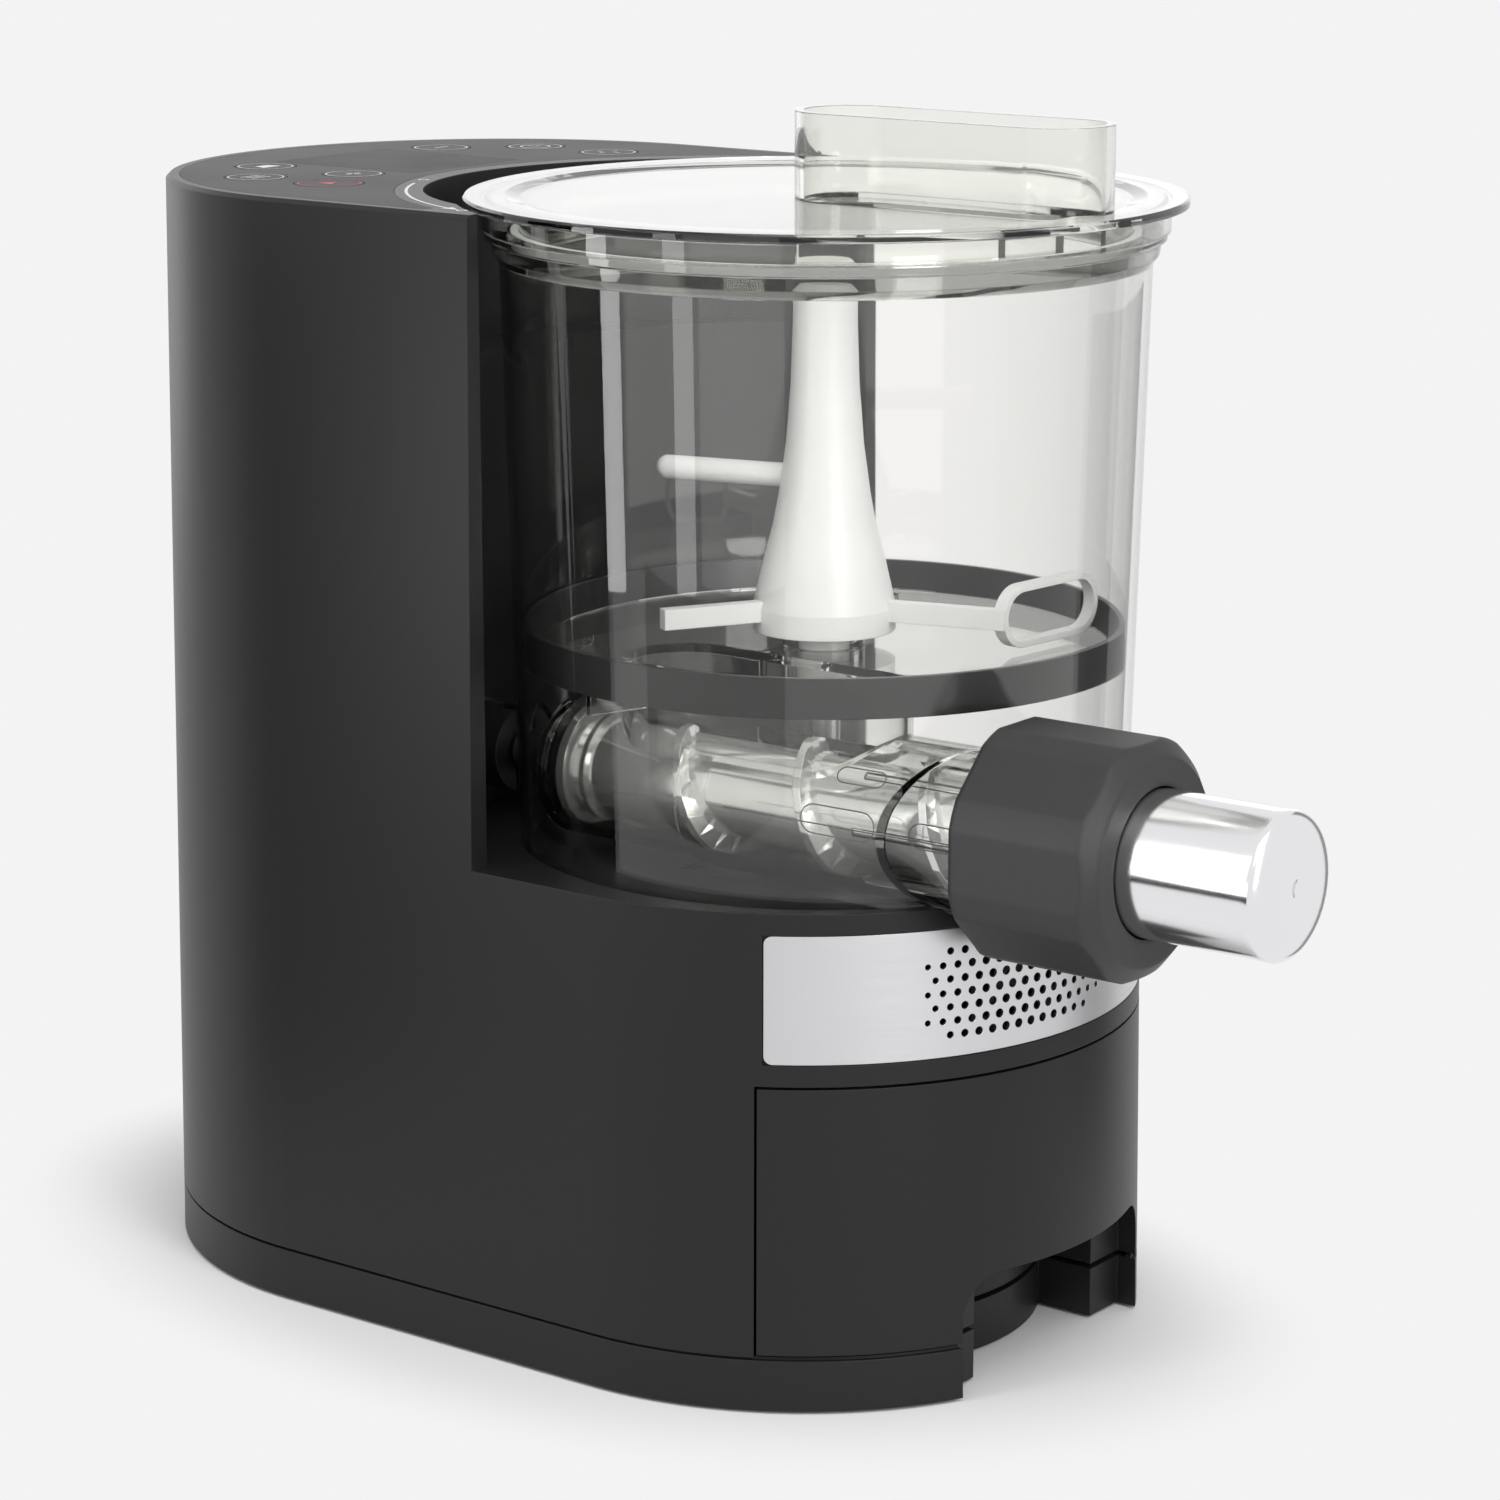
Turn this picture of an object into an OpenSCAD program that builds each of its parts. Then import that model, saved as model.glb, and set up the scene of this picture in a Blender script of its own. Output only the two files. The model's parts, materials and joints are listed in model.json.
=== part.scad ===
// Electric pasta maker: mixing bowl over a horizontal extruder, beside a motor tower.
// Front (pasta exit) is -Y, up is +Z. The origin is under the middle of the whole
// machine, on the surface it stands on. All sizes are millimetres.

/* [Body] */
// Width of the body at its foot
body_w = 203.6; // [202:0.1:206]
// Distance between the centres of the two round ends
end_gap = 118.7; // [116:0.1:126]
// Height of the tower top
body_h = 333.5; // [332.5:0.1:333.5]
// Inward slope of the side walls, millimetres per millimetre of height
draft = 0.012; // [0.008:0.001:0.014]
// Thickness of the moulded walls
wall = 3; // [2.4:0.1:3.2]
// Chamfer round the tower top
edge_c = 1.2; // [0.4:0.1:2]
// Height of the joint between the base and the casing
skirt_h = 16.7; // [14:0.1:16.8]
// Width of the dark groove at that joint
seam = 0.8; // [0.4:0.1:1]
// Height of the rubber feet below the base
foot_h = 1; // [0.6:0.1:1.5]
// Radius of a rubber foot
foot_r = 9; // [6:0.5:10]

/* [Deck and bay] */
// Height of the deck rim in front of the tower
deck_h = 146.3; // [146:0.1:147]
// Depth of the round seat in the deck that holds the bowl
seat_d = 5; // [4:0.1:5]
// Distance of the bowl axis ahead of the centre of the front end
bowl_fwd = 7.35; // [6:0.05:8]
// Radius of the bay in the tower, about the bowl axis
bay_r = 106.5; // [106:0.1:108]
// Distance from the bowl axis back to the front faces of the tower
horn_back = 51.7; // [48:0.1:54]
// Radius of the finger scoop behind the lid
scoop_r = 84; // [80:0.5:86]
// Distance from the bowl axis back to the centre of the scoop
scoop_back = 41.7; // [38:0.1:42]
// Depth of the scoop below the tower top
scoop_d = 50; // [30:1:60]

/* [Front plate] */
// Height of the lower edge of the silver plate
plate_z = 103; // [100:0.1:106]
// Height of the upper edge of the silver plate
plate_top = 140; // [136:0.1:140]
// Angle from the middle to each end of the plate
plate_a = 60; // [50:1:62]
// Thickness of the plate
plate_t = 1; // [0.8:0.1:1.2]
// Corner radius of the plate
plate_corner = 2.5; // [1.5:0.1:4]
// Angle of the middle of the grille
grille_a = -15; // [-20:1:-10]
// Length of the grille along the plate
grille_l = 70; // [60:1:74]
// Height of the grille
grille_h = 27; // [24:0.5:28]
// Spacing of the holes along a row
hole_pitch = 4.6; // [4.4:0.1:6]
// Number of rows of holes
hole_rows = 7; // [5:2:7]
// Radius of the holes in the middle of the grille
hole_r = 1.35; // [1:0.05:1.4]
// Radius of the holes at the ends of the grille
hole_end_r = 0.8; // [0.6:0.05:1]

/* [Drawer] */
// Height of the top of the drawer front
drawer_top = 95.8; // [90:0.1:97]
// Angle from the middle to each side of the drawer front
drawer_a = 61; // [56:1:62]
// Gap round the drawer front
drawer_gap = 0.8; // [0.5:0.1:1]
// Depth of the drawer tray behind its front
tray_l = 112; // [90:1:114]
// Height of the walls of the drawer tray
tray_h = 62; // [46:1:66]
// Half width of the finger arch at the front
arch_w = 46; // [40:1:48]
// Height of the top of the finger arch above the table
arch_h = 37; // [30:0.5:42]
// Radius of the upper corners of the arch
arch_r = 13; // [8:0.5:15]
// Half width of the deep part of the finger pocket
pocket_w = 31; // [26:1:32]
// Distance from the bowl axis to the step in the pocket
pocket_step = 76.8; // [75:0.1:79]
// Distance from the bowl axis to the back of the pocket
pocket_r = 66; // [62:0.5:68]

/* [Bowl] */
// Outer radius of the bowl wall at its foot
bowl_r = 89.6; // [88:0.1:89.8]
// Outer radius of the bowl wall under its rim
bowl_top_r = 94.2; // [93:0.1:94.6]
// Thickness of the bowl wall
bowl_t = 2.6; // [2:0.1:3]
// Height of the rim flange of the bowl
rim_z = 322.9; // [322:0.1:323.4]
// Thickness of the rim flange of the bowl
rim_t = 2.3; // [1.8:0.1:2.5]
// Outer radius of the rim flange of the bowl
rim_r = 98; // [97:0.1:98.6]
// Height of the top of the bowl floor
floor_z = 203; // [202:0.1:205]
// Thickness of the bowl floor and of its raised edge
floor_t = 3; // [2.4:0.1:3.4]
// Height of the raised edge of the bowl floor
floor_lip = 8.5; // [6:0.5:9]
// Half width of the opening from the bowl into the extruder
feed_w = 16; // [13:0.5:16.5]
// Distance from the bowl axis back to the rear of that opening
feed_back = 38; // [34:1:40]
// Distance from the bowl axis forward to the front of that opening
feed_front = 52; // [46:1:54]

/* [Lid] */
// Outer radius of the lid
lid_r = 104.2; // [103.6:0.1:104.6]
// Thickness of the edge of the lid
lid_t = 2.4; // [2:0.1:2.6]
// Outer radius of the collar under the lid
collar_r = 99; // [98.8:0.1:100]
// Height of the collar under the lid
collar_h = 7.2; // [6:0.1:7.4]
// Width of the filling chute
chute_w = 33; // [28:0.5:36]
// Length of the filling chute
chute_l = 102; // [90:1:106]
// Height of the chute above the lid
chute_h = 24.1; // [18:0.1:30]
// Wall of the chute
chute_t = 2.5; // [2:0.1:3]
// Distance of the middle of the chute ahead of the bowl axis
chute_fwd = 43.8; // [42:0.1:45]

/* [Mixing paddle] */
// Radius of the white column near its top
column_r = 9.4; // [8.5:0.1:10]
// Radius of the white column at its foot
column_foot_r = 21; // [18:0.5:23]
// Height of the top of the column
column_top = 316; // [300:1:317]
// Reach of the lower arms from the bowl axis
blade_reach = 78; // [70:0.5:80]
// Height of the loop on the lower arm
blade_h = 18.5; // [14:0.5:20]
// Length of that loop
loop_l = 44; // [36:1:46]
// Thickness of the lower arms
blade_t = 4; // [3:0.1:5]
// Reach of the upper rod from the bowl axis
rod_reach = 50; // [40:1:60]
// Radius of the upper rod
rod_r = 3.5; // [3:0.1:4.5]
// Height of the upper rod
rod_z = 252; // [246:1:270]
// Radius of the steel shaft through the bowl floor
paddle_shaft_r = 5; // [4:0.1:5.5]

/* [Extruder] */
// Sideways place of the extruder axis, to the left of the middle
ext_x = 38; // [38:0.1:40]
// Height of the extruder axis
ext_z = 166; // [166:0.1:167]
// Inner radius of the barrel
barrel_r = 19.5; // [19:0.1:19.6]
// Wall of the barrel at its front
barrel_t = 4; // [3.6:0.1:4]
// Wall of the barrel at its rear
barrel_rear_t = 2; // [1.8:0.1:2.2]
// Distance from the bowl axis back to the rear end of the barrel
barrel_back = 60.7; // [59:0.1:61]
// Distance from the bowl axis forward to the rear face of the ring nut
ring_fwd = 93.3; // [93:0.1:96]
// Radius of the ring nut across its corners
ring_r = 34; // [32:0.5:34]
// Length of the ring nut
ring_l = 45.5; // [42:0.5:48]
// Radius of the chrome die cylinder
die_r = 20.7; // [20:0.1:20.8]
// Reach of the die cylinder beyond the ring nut
die_l = 44.5; // [40:0.5:50]
// Wall of the die cylinder
die_t = 2; // [1.6:0.1:2.4]
// Radius of a pasta hole
pasta_r = 1.6; // [1:0.1:2]
// Radius of the auger core
core_r = 11.5; // [9:0.1:12]
// Pitch of the auger flight
pitch = 43; // [34:1:50]
// Running gap between the flight and the barrel
auger_gap = 0.6; // [0.4:0.1:1]
// Radius of the auger shaft
shaft_r = 6; // [5:0.1:6.5]
// Thickness of the blade at the tail of the auger shaft
tongue_t = 5; // [4:0.1:6]

/* [Drive] */
// Module of the drive gears
gear_m = 2; // [2:0.5:2]
// Teeth on the drive gear
gear_teeth = 44; // [44:1:44]
// Teeth on the motor pinion
pinion_teeth = 12; // [12:1:12]
// Face width of the drive gear
gear_w = 8; // [6:0.5:9]
// Direction from the drive gear to the pinion, degrees above +X
mesh_a = 45; // [45:1:45]
// Radius of the main motor
motor_r = 30; // [26:0.5:32]
// Length of the main motor
motor_l = 50; // [40:1:53]
// Radius of the reduction case of the motor
head_r = 23; // [20:0.5:24]
// Length of the reduction case of the motor
head_l = 20; // [16:1:22]
// Radius of the mixing motor under the deck
mix_motor_r = 30; // [26:0.5:32]
// Height of the mixing motor
mix_motor_h = 34; // [28:1:34]
// Side of the drying fan frame
fan_w = 31; // [28:0.5:31]
// Thickness of the drying fan
fan_t = 10; // [8:0.5:12]

/* [Control panel] */
// Thickness of the glossy panel
panel_t = 1.2; // [1:0.1:1.4]
// Width of the casing edge round the panel
panel_in = 4; // [3:0.1:5]
// Radius of the curved front edge of the panel
panel_r = 96; // [94:0.5:98]
// Radius of an ordinary key
key_r = 9.3; // [8:0.1:9.3]
// Radius of the start key
start_r = 10.3; // [9:0.1:10.5]
// Gap round each key
key_gap = 0.3; // [0.2:0.05:0.4]
// Travel of each key
key_travel = 0.6; // [0.4:0.1:0.8]
// Width of the display window
lcd_w = 50; // [44:0.5:50]
// Length of the display window
lcd_l = 56; // [48:0.5:58]

/* [Hidden] */

fine = 96;
eps = 0.01;

// Places along Y, worked out from the lengths so that the machine is centred
foot_end_r = body_w / 2;
total_l = foot_end_r + end_gap + bowl_fwd + ring_fwd + ring_l + die_l;
y_rear = total_l / 2 - foot_end_r;
y_front = y_rear - end_gap;
y_bowl = y_front - bowl_fwd;
y_horn = y_bowl + horn_back;
y_ring = y_bowl - ring_fwd;
y_nose = y_ring - ring_l;
y_tip = y_nose - die_l;
y_barrel = y_bowl + barrel_back;

// Outer radius of the two round ends at a height
function end_r(z) = foot_end_r - draft * z;

// ---------------------------------------------------------------- shared shapes

// Plan of the body between two heights, drafted, moved in by a distance, and by more at its top
module drafted_plan(z0, z1, inset = 0, top_more = 0) {
    r0 = end_r(z0) - inset;
    r1 = end_r(z1) - inset - top_more;
    for (y = [y_front, y_rear])
        translate([0, y, z0])
            cylinder(h = z1 - z0, r1 = r0, r2 = r1, $fn = fine);
    translate([0, y_rear, 0])
        rotate([90, 0, 0])
            linear_extrude(end_gap)
                polygon([[-r0, z0], [r0, z0], [r1, z1], [-r1, z1]]);
}

// Cylinder along Y from y0 to y1
module y_rod(x, z, r, y0, y1, sides = 64) {
    translate([x, y1, z])
        rotate([90, 0, 0])
            cylinder(h = y1 - y0, r = r, $fn = sides);
}

// Cylinder along Z from z0 to z1
module z_rod(x, y, r, z0, z1, sides = 64) {
    translate([x, y, z0])
        cylinder(h = z1 - z0, r = r, $fn = sides);
}

// Block between two corners
module block(a, b) {
    translate(a)
        cube(b - a);
}

// Flat slot with round ends, along Y, centred
module slot_plan(w, l) {
    for (s = [-1, 1])
        translate([0, s * (l - w) / 2])
            circle(r = w / 2, $fn = 48);
    square([w, l - w], center = true);
}

// Wedge about the front end's centre, from angle a0 to a1 measured from -Y towards +X
module front_wedge(a0, a1, z0, z1, reach = 140) {
    steps = 6;
    translate([0, y_front, z0])
        linear_extrude(z1 - z0)
            polygon(concat([[0, 0]], [for (i = [0 : steps])
                let (a = a0 + (a1 - a0) * i / steps) [reach * sin(a), -reach * cos(a)]]));
}

// ---------------------------------------------------------------- casing

seat_z = deck_h - seat_d;
seat_r = bowl_r + 0.9;
bay_z = deck_h;
scoop_z = body_h - scoop_d;
roof_z = body_h - wall;
drawer_z = skirt_h + drawer_gap;

// Space in front of the tower, grown by g (0 for the bay, wall for the shell behind it)
module bay_space(g) {
    low = bay_z - g;
    block([-150, y_bowl - 200, low], [150, y_horn + g, body_h + 5]);
    z_rod(0, y_bowl, bay_r + g, low, body_h + 5, fine);
    z_rod(0, y_bowl + scoop_back, scoop_r + g, scoop_z - g, body_h + 5, fine);
}

// Recess in the deck that the bowl stands in, with the trough under the barrel
trough_r = barrel_r + barrel_t + 2.6;
module deck_recess(g) {
    z_rod(0, y_bowl, seat_r + g, seat_z - g, deck_h + 5, fine);
    if (g == 0) {
        intersection() {
            y_rod(-ext_x, ext_z, trough_r, y_bowl - 100, y_bowl + 18, fine);
            z_rod(0, y_bowl, seat_r - 6, 0, 200, fine);
        }
        y_rod(-ext_x, ext_z, barrel_r + barrel_t + 1, y_bowl - 140, y_bowl - 70, fine);
        y_rod(-ext_x, seat_z + 62, 60, y_bowl - 140, y_bowl - 80, fine);
    }
}

// Opening that the drawer fills, and the finger pocket
module drawer_opening(gap) {
    difference() {
        front_wedge(-drawer_a - gap / 1.8, drawer_a + gap / 1.8, skirt_h - 1, drawer_top + gap);
        z_rod(0, y_front, 60, 0, 200, fine);
    }
}

module pocket_plan() {
    translate([-arch_w, y_bowl - 120])
        square([2 * arch_w, 120 - pocket_step]);
    difference() {
        translate([-pocket_w, y_bowl - 120])
            square([2 * pocket_w, 120]);
        translate([0, y_bowl])
            circle(r = pocket_r, $fn = fine);
    }
}

module arch_profile(w, h, r) {
    translate([-w, 0])
        square([2 * w, h - r]);
    translate([-w + r, 0])
        square([2 * (w - r), h]);
    for (s = [-1, 1])
        translate([s * (w - r), h - r])
            circle(r = r, $fn = 48);
}

module pocket_space() {
    intersection() {
        translate([0, 0, -1])
            linear_extrude(arch_h + 2)
                pocket_plan();
        translate([0, y_bowl, 0])
            rotate([90, 0, 0])
                linear_extrude(130)
                    arch_profile(arch_w, arch_h, arch_r);
    }
}

// Seat of the silver plate, cut into the front face, and the air window behind it
plate_in = plate_t + 0.2;
module plate_band(z0, z1, a, inset, depth) {
    intersection() {
        difference() {
            drafted_plan(z0, z1, inset);
            drafted_plan(z0 - 1, z1 + 1, inset + depth);
        }
        front_wedge(-a, a, z0 - 1, z1 + 1);
    }
}

// Frame turned to the middle of the grille: local -Y points out through it
module at_grille(z = 0) {
    translate([0, y_front, z])
        rotate([0, 0, grille_a])
            children();
}

grille_z = (plate_z + plate_top) / 2;
fan_out = end_r(grille_z) - wall - 2.5;

module air_window(grow = 0) {
    at_grille(grille_z)
        rotate([90, 0, 0])
            linear_extrude(130)
                rotate(90)
                    slot_plan(grille_h + 3 + grow, grille_l + 3 + grow);
}

// Boss that the fan frame screws to
module fan_boss() {
    intersection() {
        at_grille(grille_z)
            translate([-fan_w / 2 - 2, -fan_out - 6, -fan_w / 2 - 1])
                cube([fan_w + 4, 6, fan_w + 2]);
        drafted_plan(plate_z - 5, deck_h, wall - 0.5);
    }
}

// Keys: x, distance behind the bowl axis, radius
keys = [[-58.5, 138.7, start_r], [-59, 167.8, key_r], [-34.5, 186.7, key_r],
    [-34.5, 150.7, key_r], [42, 182.2, key_r], [62.5, 160.2, key_r], [62.5, 130.2, key_r]];
lcd_x = 3;
lcd_y = y_bowl + 165.7;
panel_y = y_bowl + 36.7;
panel_z = body_h - panel_t;
board_z = body_h - 16;

// The panel, moved in by a gap on every side; its seat is the same shape with no gap
horn_in = 34;
module panel_outline(top, gap) {
    difference() {
        drafted_plan(panel_z, top, panel_in + gap);
        z_rod(0, panel_y, panel_r + gap, panel_z - 1, top + 1, fine);
        block([-body_w, y_bowl - body_w, panel_z - 1], [body_w, panel_y + horn_in + gap, top + 1]);
    }
}

module key_holes(z0, z1, grow) {
    for (k = keys)
        z_rod(k[0], y_bowl + k[1], k[2] + grow, z0, z1, 48);
}

// Screw posts of the gear frame, on the back of the bay wall
gear_y = y_bowl + bay_r + wall + 16;
gear_r = gear_m * gear_teeth / 2;
pinion_r = gear_m * pinion_teeth / 2;
centres = gear_r + pinion_r;
pinion_x = -ext_x + centres * cos(mesh_a);
pinion_z = ext_z + centres * sin(mesh_a);
frame_t = 3;
frame_y = gear_y - 4;
frame_l = gear_w + 8;
posts = [[-ext_x - 50, ext_z + 50], [-ext_x - 50, ext_z - 20],
    [pinion_x + 34, pinion_z - 32], [pinion_x + 34, pinion_z + 32]];
post_r = 5;

module housing_posts() {
    difference() {
        for (p = posts)
            y_rod(p[0], p[1], post_r, y_bowl + 20, frame_y, 32);
        z_rod(0, y_bowl, bay_r + wall - 0.5, 0, 400, fine);
        z_rod(0, y_bowl + scoop_back, scoop_r + wall - 0.5, scoop_z - wall + 0.5, 400, fine);
    }
}

post_in = 17.8;
base_posts = [for (s = [-1, 1]) for (p = [[foot_end_r - post_in - 22, y_rear + 40],
    [foot_end_r - post_in, y_front + 34]]) [s * p[0], p[1]]];
base_post_r = 5;
base_post_top = 50;

// Post that a base screw goes up into, with the rib that ties it to the side wall
module base_post(p) {
    z_rod(p[0], p[1], base_post_r, skirt_h + 3, base_post_top, 32);
    intersection() {
        translate([p[0], p[1] - 1.5, skirt_h + 6])
            mirror([p[0] < 0 ? 1 : 0, 0, 0])
                cube([40, 3, base_post_top - skirt_h - 6]);
        drafted_plan(skirt_h, base_post_top + 1, wall - 0.5);
    }
}

// Shelf behind the bay wall for the bowl switch
shelf_z = scoop_z - 33.5;
shelf_x = 70;
shelf_back = y_bowl + sqrt(pow(bay_r + wall, 2) - pow(shelf_x - 8, 2)) + 12;
module switch_shelf() {
    difference() {
        block([shelf_x - 8, y_bowl + 50, shelf_z - 3], [shelf_x + 8, shelf_back, shelf_z]);
        z_rod(0, y_bowl, bay_r + wall - 0.5, 0, body_h, fine);
    }
}

// Bosses under the roof that the control board hangs from
board_bosses = [[-45, y_bowl + 166], [52, y_bowl + 148]];

module housing_shell() color([0.2, 0.2, 0.2]) {
    difference() {
        union() {
            difference() {
                union() {
                    drafted_plan(skirt_h, body_h - edge_c);
                    drafted_plan(body_h - edge_c, body_h, 0, edge_c);
                }
                bay_space(0);
                difference() {
                    drafted_plan(skirt_h - 1, roof_z, wall);
                    bay_space(wall);
                    deck_recess(wall);
                }
            }
            housing_posts();
            fan_boss();
            for (p = base_posts)
                base_post(p);
            switch_shelf();
            for (p = board_bosses)
                z_rod(p[0], p[1], 4, board_z + board_t, roof_z + 0.5, 32);
        }
        deck_recess(0);
        drawer_opening(drawer_gap);
        plate_band(plate_z - 0.2, plate_top + 0.2, plate_a + 0.15, -1, plate_in + 1);
        air_window();
        panel_outline(body_h + 1, 0);
        key_holes(roof_z - 1, body_h, key_gap);
        block([lcd_x - lcd_w / 2 + 2, lcd_y - lcd_l / 2 + 2, roof_z - 1],
            [lcd_x + lcd_w / 2 - 2, lcd_y + lcd_l / 2 - 2, body_h]);
        y_rod(-ext_x, ext_z, seal_r, y_bowl, gear_y - 2);
        z_rod(0, y_bowl, spindle_seal_r, seat_z - wall - 1, deck_h);
        for (p = posts)
            y_rod(p[0], p[1], 1.6, frame_y - 9, frame_y + 1, 24);
        for (p = base_posts)
            z_rod(p[0], p[1], 1.6, skirt_h, 40, 24);
        inlet_cut();
    }
}

// ---------------------------------------------------------------- base

base_z = foot_h;
base_floor_t = 3;
screw_head_r = 3.4;

module base_plate() color([0.17, 0.17, 0.17]) {
    difference() {
        union() {
            difference() {
                union() {
                    drafted_plan(base_z, skirt_h - seam);
                    drafted_plan(base_z, skirt_h, 1.4);
                }
                drafted_plan(base_z + base_floor_t, skirt_h + 1, wall + 0.4);
            }
            intersection() {
                drafted_plan(base_z, skirt_h - seam, wall);
                translate([0, 0, base_z])
                    linear_extrude(skirt_h - seam - base_z)
                        pocket_wall_plan();
            }
            for (p = base_posts)
                z_rod(p[0], p[1], 6, base_z, skirt_h + 3, 32);
            for (p = board_posts)
                z_rod(p[0], p[1], 4, base_z, board_low, 32);
            for (s = [-1, 1])
                block([s * runner_x - 2, y_front - 52, base_z + 1],
                    [s * runner_x + 2, y_front + 30, tray_z - 0.3]);
        }
        pocket_space();
        for (p = base_posts) {
            z_rod(p[0], p[1], 1.9, 0, skirt_h + 4, 24);
            z_rod(p[0], p[1], screw_head_r + 0.2, 0, base_z + 8, 32);
        }
        for (p = board_posts)
            z_rod(p[0], p[1], 1.2, base_z + 4, board_low + 1, 24);
        for (p = feet)
            z_rod(p[0], p[1], foot_r + 0.1, 0, base_z + 1, 48);
    }
}

module pocket_wall_plan() {
    translate([-arch_w - wall, y_bowl - 120])
        square([2 * (arch_w + wall), 120 - pocket_step + wall]);
    difference() {
        translate([-pocket_w - wall, y_bowl - 120])
            square([2 * (pocket_w + wall), 120]);
        translate([0, y_bowl])
            circle(r = pocket_r - wall, $fn = fine);
    }
}

feet = [for (s = [-1, 1]) for (p = [[foot_end_r - 35.8, y_rear + 56], [foot_end_r - 31.8, y_front - 48]])
    [s * p[0], p[1]]];

module rubber_feet() color([0.12, 0.12, 0.12])
    for (p = feet) {
        z_rod(p[0], p[1], foot_r, foot_h, foot_h + 1, 48);
        translate([p[0], p[1], 0])
            cylinder(h = foot_h, r1 = foot_r - 0.8, r2 = foot_r, $fn = 48);
    }

module base_screws() color("silver")
    for (p = base_posts) {
        z_rod(p[0], p[1], 1.5, base_z + 8, 38, 24);
        z_rod(p[0], p[1], screw_head_r, base_z + 5.5, base_z + 8, 32);
    }

// ---------------------------------------------------------------- front plate

module front_plate() color([0.78, 0.78, 0.8])
    difference() {
        plate_band(plate_z, plate_top, plate_a, 0.2, plate_t);
        plate_corners();
        grille_holes();
    }

// Square off-cuts outside the rounded corners of the plate
module plate_corners() {
    for (s = [-1, 1])
        for (z = [plate_z, plate_top])
            translate([0, y_front, z])
                rotate([0, 0, s * plate_a])
                    rotate([90, 0, 0])
                        translate([0, 0, end_r(plate_z) - 8])
                            linear_extrude(16)
                                corner_offcut(s, z == plate_z ? 1 : -1);
}

module corner_offcut(s, t) {
    difference() {
        translate([s > 0 ? -plate_corner : -1, t > 0 ? -1 : -plate_corner])
            square(plate_corner + 1);
        translate([-s * plate_corner, t * plate_corner])
            circle(r = plate_corner, $fn = 32);
    }
}

function row_half(row) =
    let (v = row * grille_h / (hole_rows - 1) / (grille_h / 2))
        (grille_l - grille_h) / 2 + grille_h / 2 * sqrt(max(0, 1 - v * v * 0.82));

module grille_holes() {
    rows = (hole_rows - 1) / 2;
    rise = (grille_h - 2 * hole_r) / (hole_rows - 1);
    for (row = [-rows : rows]) {
        shift = (row % 2 == 0) ? 0 : hole_pitch / 2;
        half = row_half(row);
        count = floor((half - shift) / hole_pitch);
        first = (row % 2 == 0) ? -count : -count - 1;
        for (i = [first : count]) {
            along = i * hole_pitch + shift;
            share = abs(along) / (grille_l / 2);
            r = hole_r + (hole_end_r - hole_r) * share * share;
            translate([0, y_front, grille_z + row * rise])
                rotate([0, 0, grille_a + along / end_r(grille_z) * 180 / PI])
                    rotate([90, 0, 0])
                        translate([0, 0, end_r(grille_z) - 8])
                            cylinder(h = 16, r = r, $fn = 16);
        }
    }
}

// ---------------------------------------------------------------- control panel

module top_panel() color([0.1, 0.1, 0.11])
    difference() {
        panel_outline(body_h, panel_gap);
        key_holes(panel_z - 1, body_h + 1, key_gap);
        block([lcd_x - lcd_w / 2, lcd_y - lcd_l / 2, panel_z - 1],
            [lcd_x + lcd_w / 2, lcd_y + lcd_l / 2, body_h + 1]);
    }

panel_gap = 0.15;

module display_window() color([0.25, 0.26, 0.26])
    block([lcd_x - lcd_w / 2 + 0.1, lcd_y - lcd_l / 2 + 0.1, panel_z],
        [lcd_x + lcd_w / 2 - 0.1, lcd_y + lcd_l / 2 - 0.1, body_h]);

module display_module() color([0.45, 0.5, 0.45])
    block([lcd_x - lcd_w / 2 + 2.3, lcd_y - lcd_l / 2 + 2.3, board_z + 1.6],
        [lcd_x + lcd_w / 2 - 2.3, lcd_y + lcd_l / 2 - 2.3, panel_z - 0.2]);

board_t = 1.6;
board_y = y_bowl + scoop_back + scoop_r + wall + 1.5;

module control_board() color([0.1, 0.35, 0.2])
    difference() {
        union() {
            block([-66, board_y, board_z], [68, y_bowl + 174, board_z + board_t]);
            block([-52, board_y, board_z], [54, y_bowl + 197, board_z + board_t]);
            block([48, y_bowl + 122, board_z], [74, board_y + 14, board_z + board_t]);
        }
        for (p = board_bosses)
            z_rod(p[0], p[1], 1.6, board_z - 1, board_z + 3, 24);
    }

switch_h = 4.4;
module key_switches() color([0.5, 0.5, 0.5])
    for (k = keys) {
        block([k[0] - 3, y_bowl + k[1] - 3, board_z + 1.6],
            [k[0] + 3, y_bowl + k[1] + 3, board_z + 1.6 + switch_h]);
        z_rod(k[0], y_bowl + k[1], 1.7, board_z + 1.6 + switch_h, key_low - key_travel - 0.1, 24);
    }

key_low = board_z + 1.6 + switch_h + 2.4;
module key_cap(k) {
    z_rod(k[0], y_bowl + k[1], k[2], roof_z - 3, body_h, 48);
    z_rod(k[0], y_bowl + k[1], 3, key_low, roof_z - 3, 32);
}

module start_key() color([0.5, 0.1, 0.12]) key_cap(keys[0]);
module menu_key() color([0.1, 0.1, 0.11]) key_cap(keys[1]);
module weight_key() color([0.1, 0.1, 0.11]) key_cap(keys[2]);
module plus_key() color([0.1, 0.1, 0.11]) key_cap(keys[3]);
module minus_key() color([0.1, 0.1, 0.11]) key_cap(keys[4]);
module timer_key() color([0.1, 0.1, 0.11]) key_cap(keys[5]);
module light_key() color([0.1, 0.1, 0.11]) key_cap(keys[6]);

// ---------------------------------------------------------------- drive

seal_r = 13.5;
bearing_r = 13;
spindle_seal_r = 12;

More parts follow.
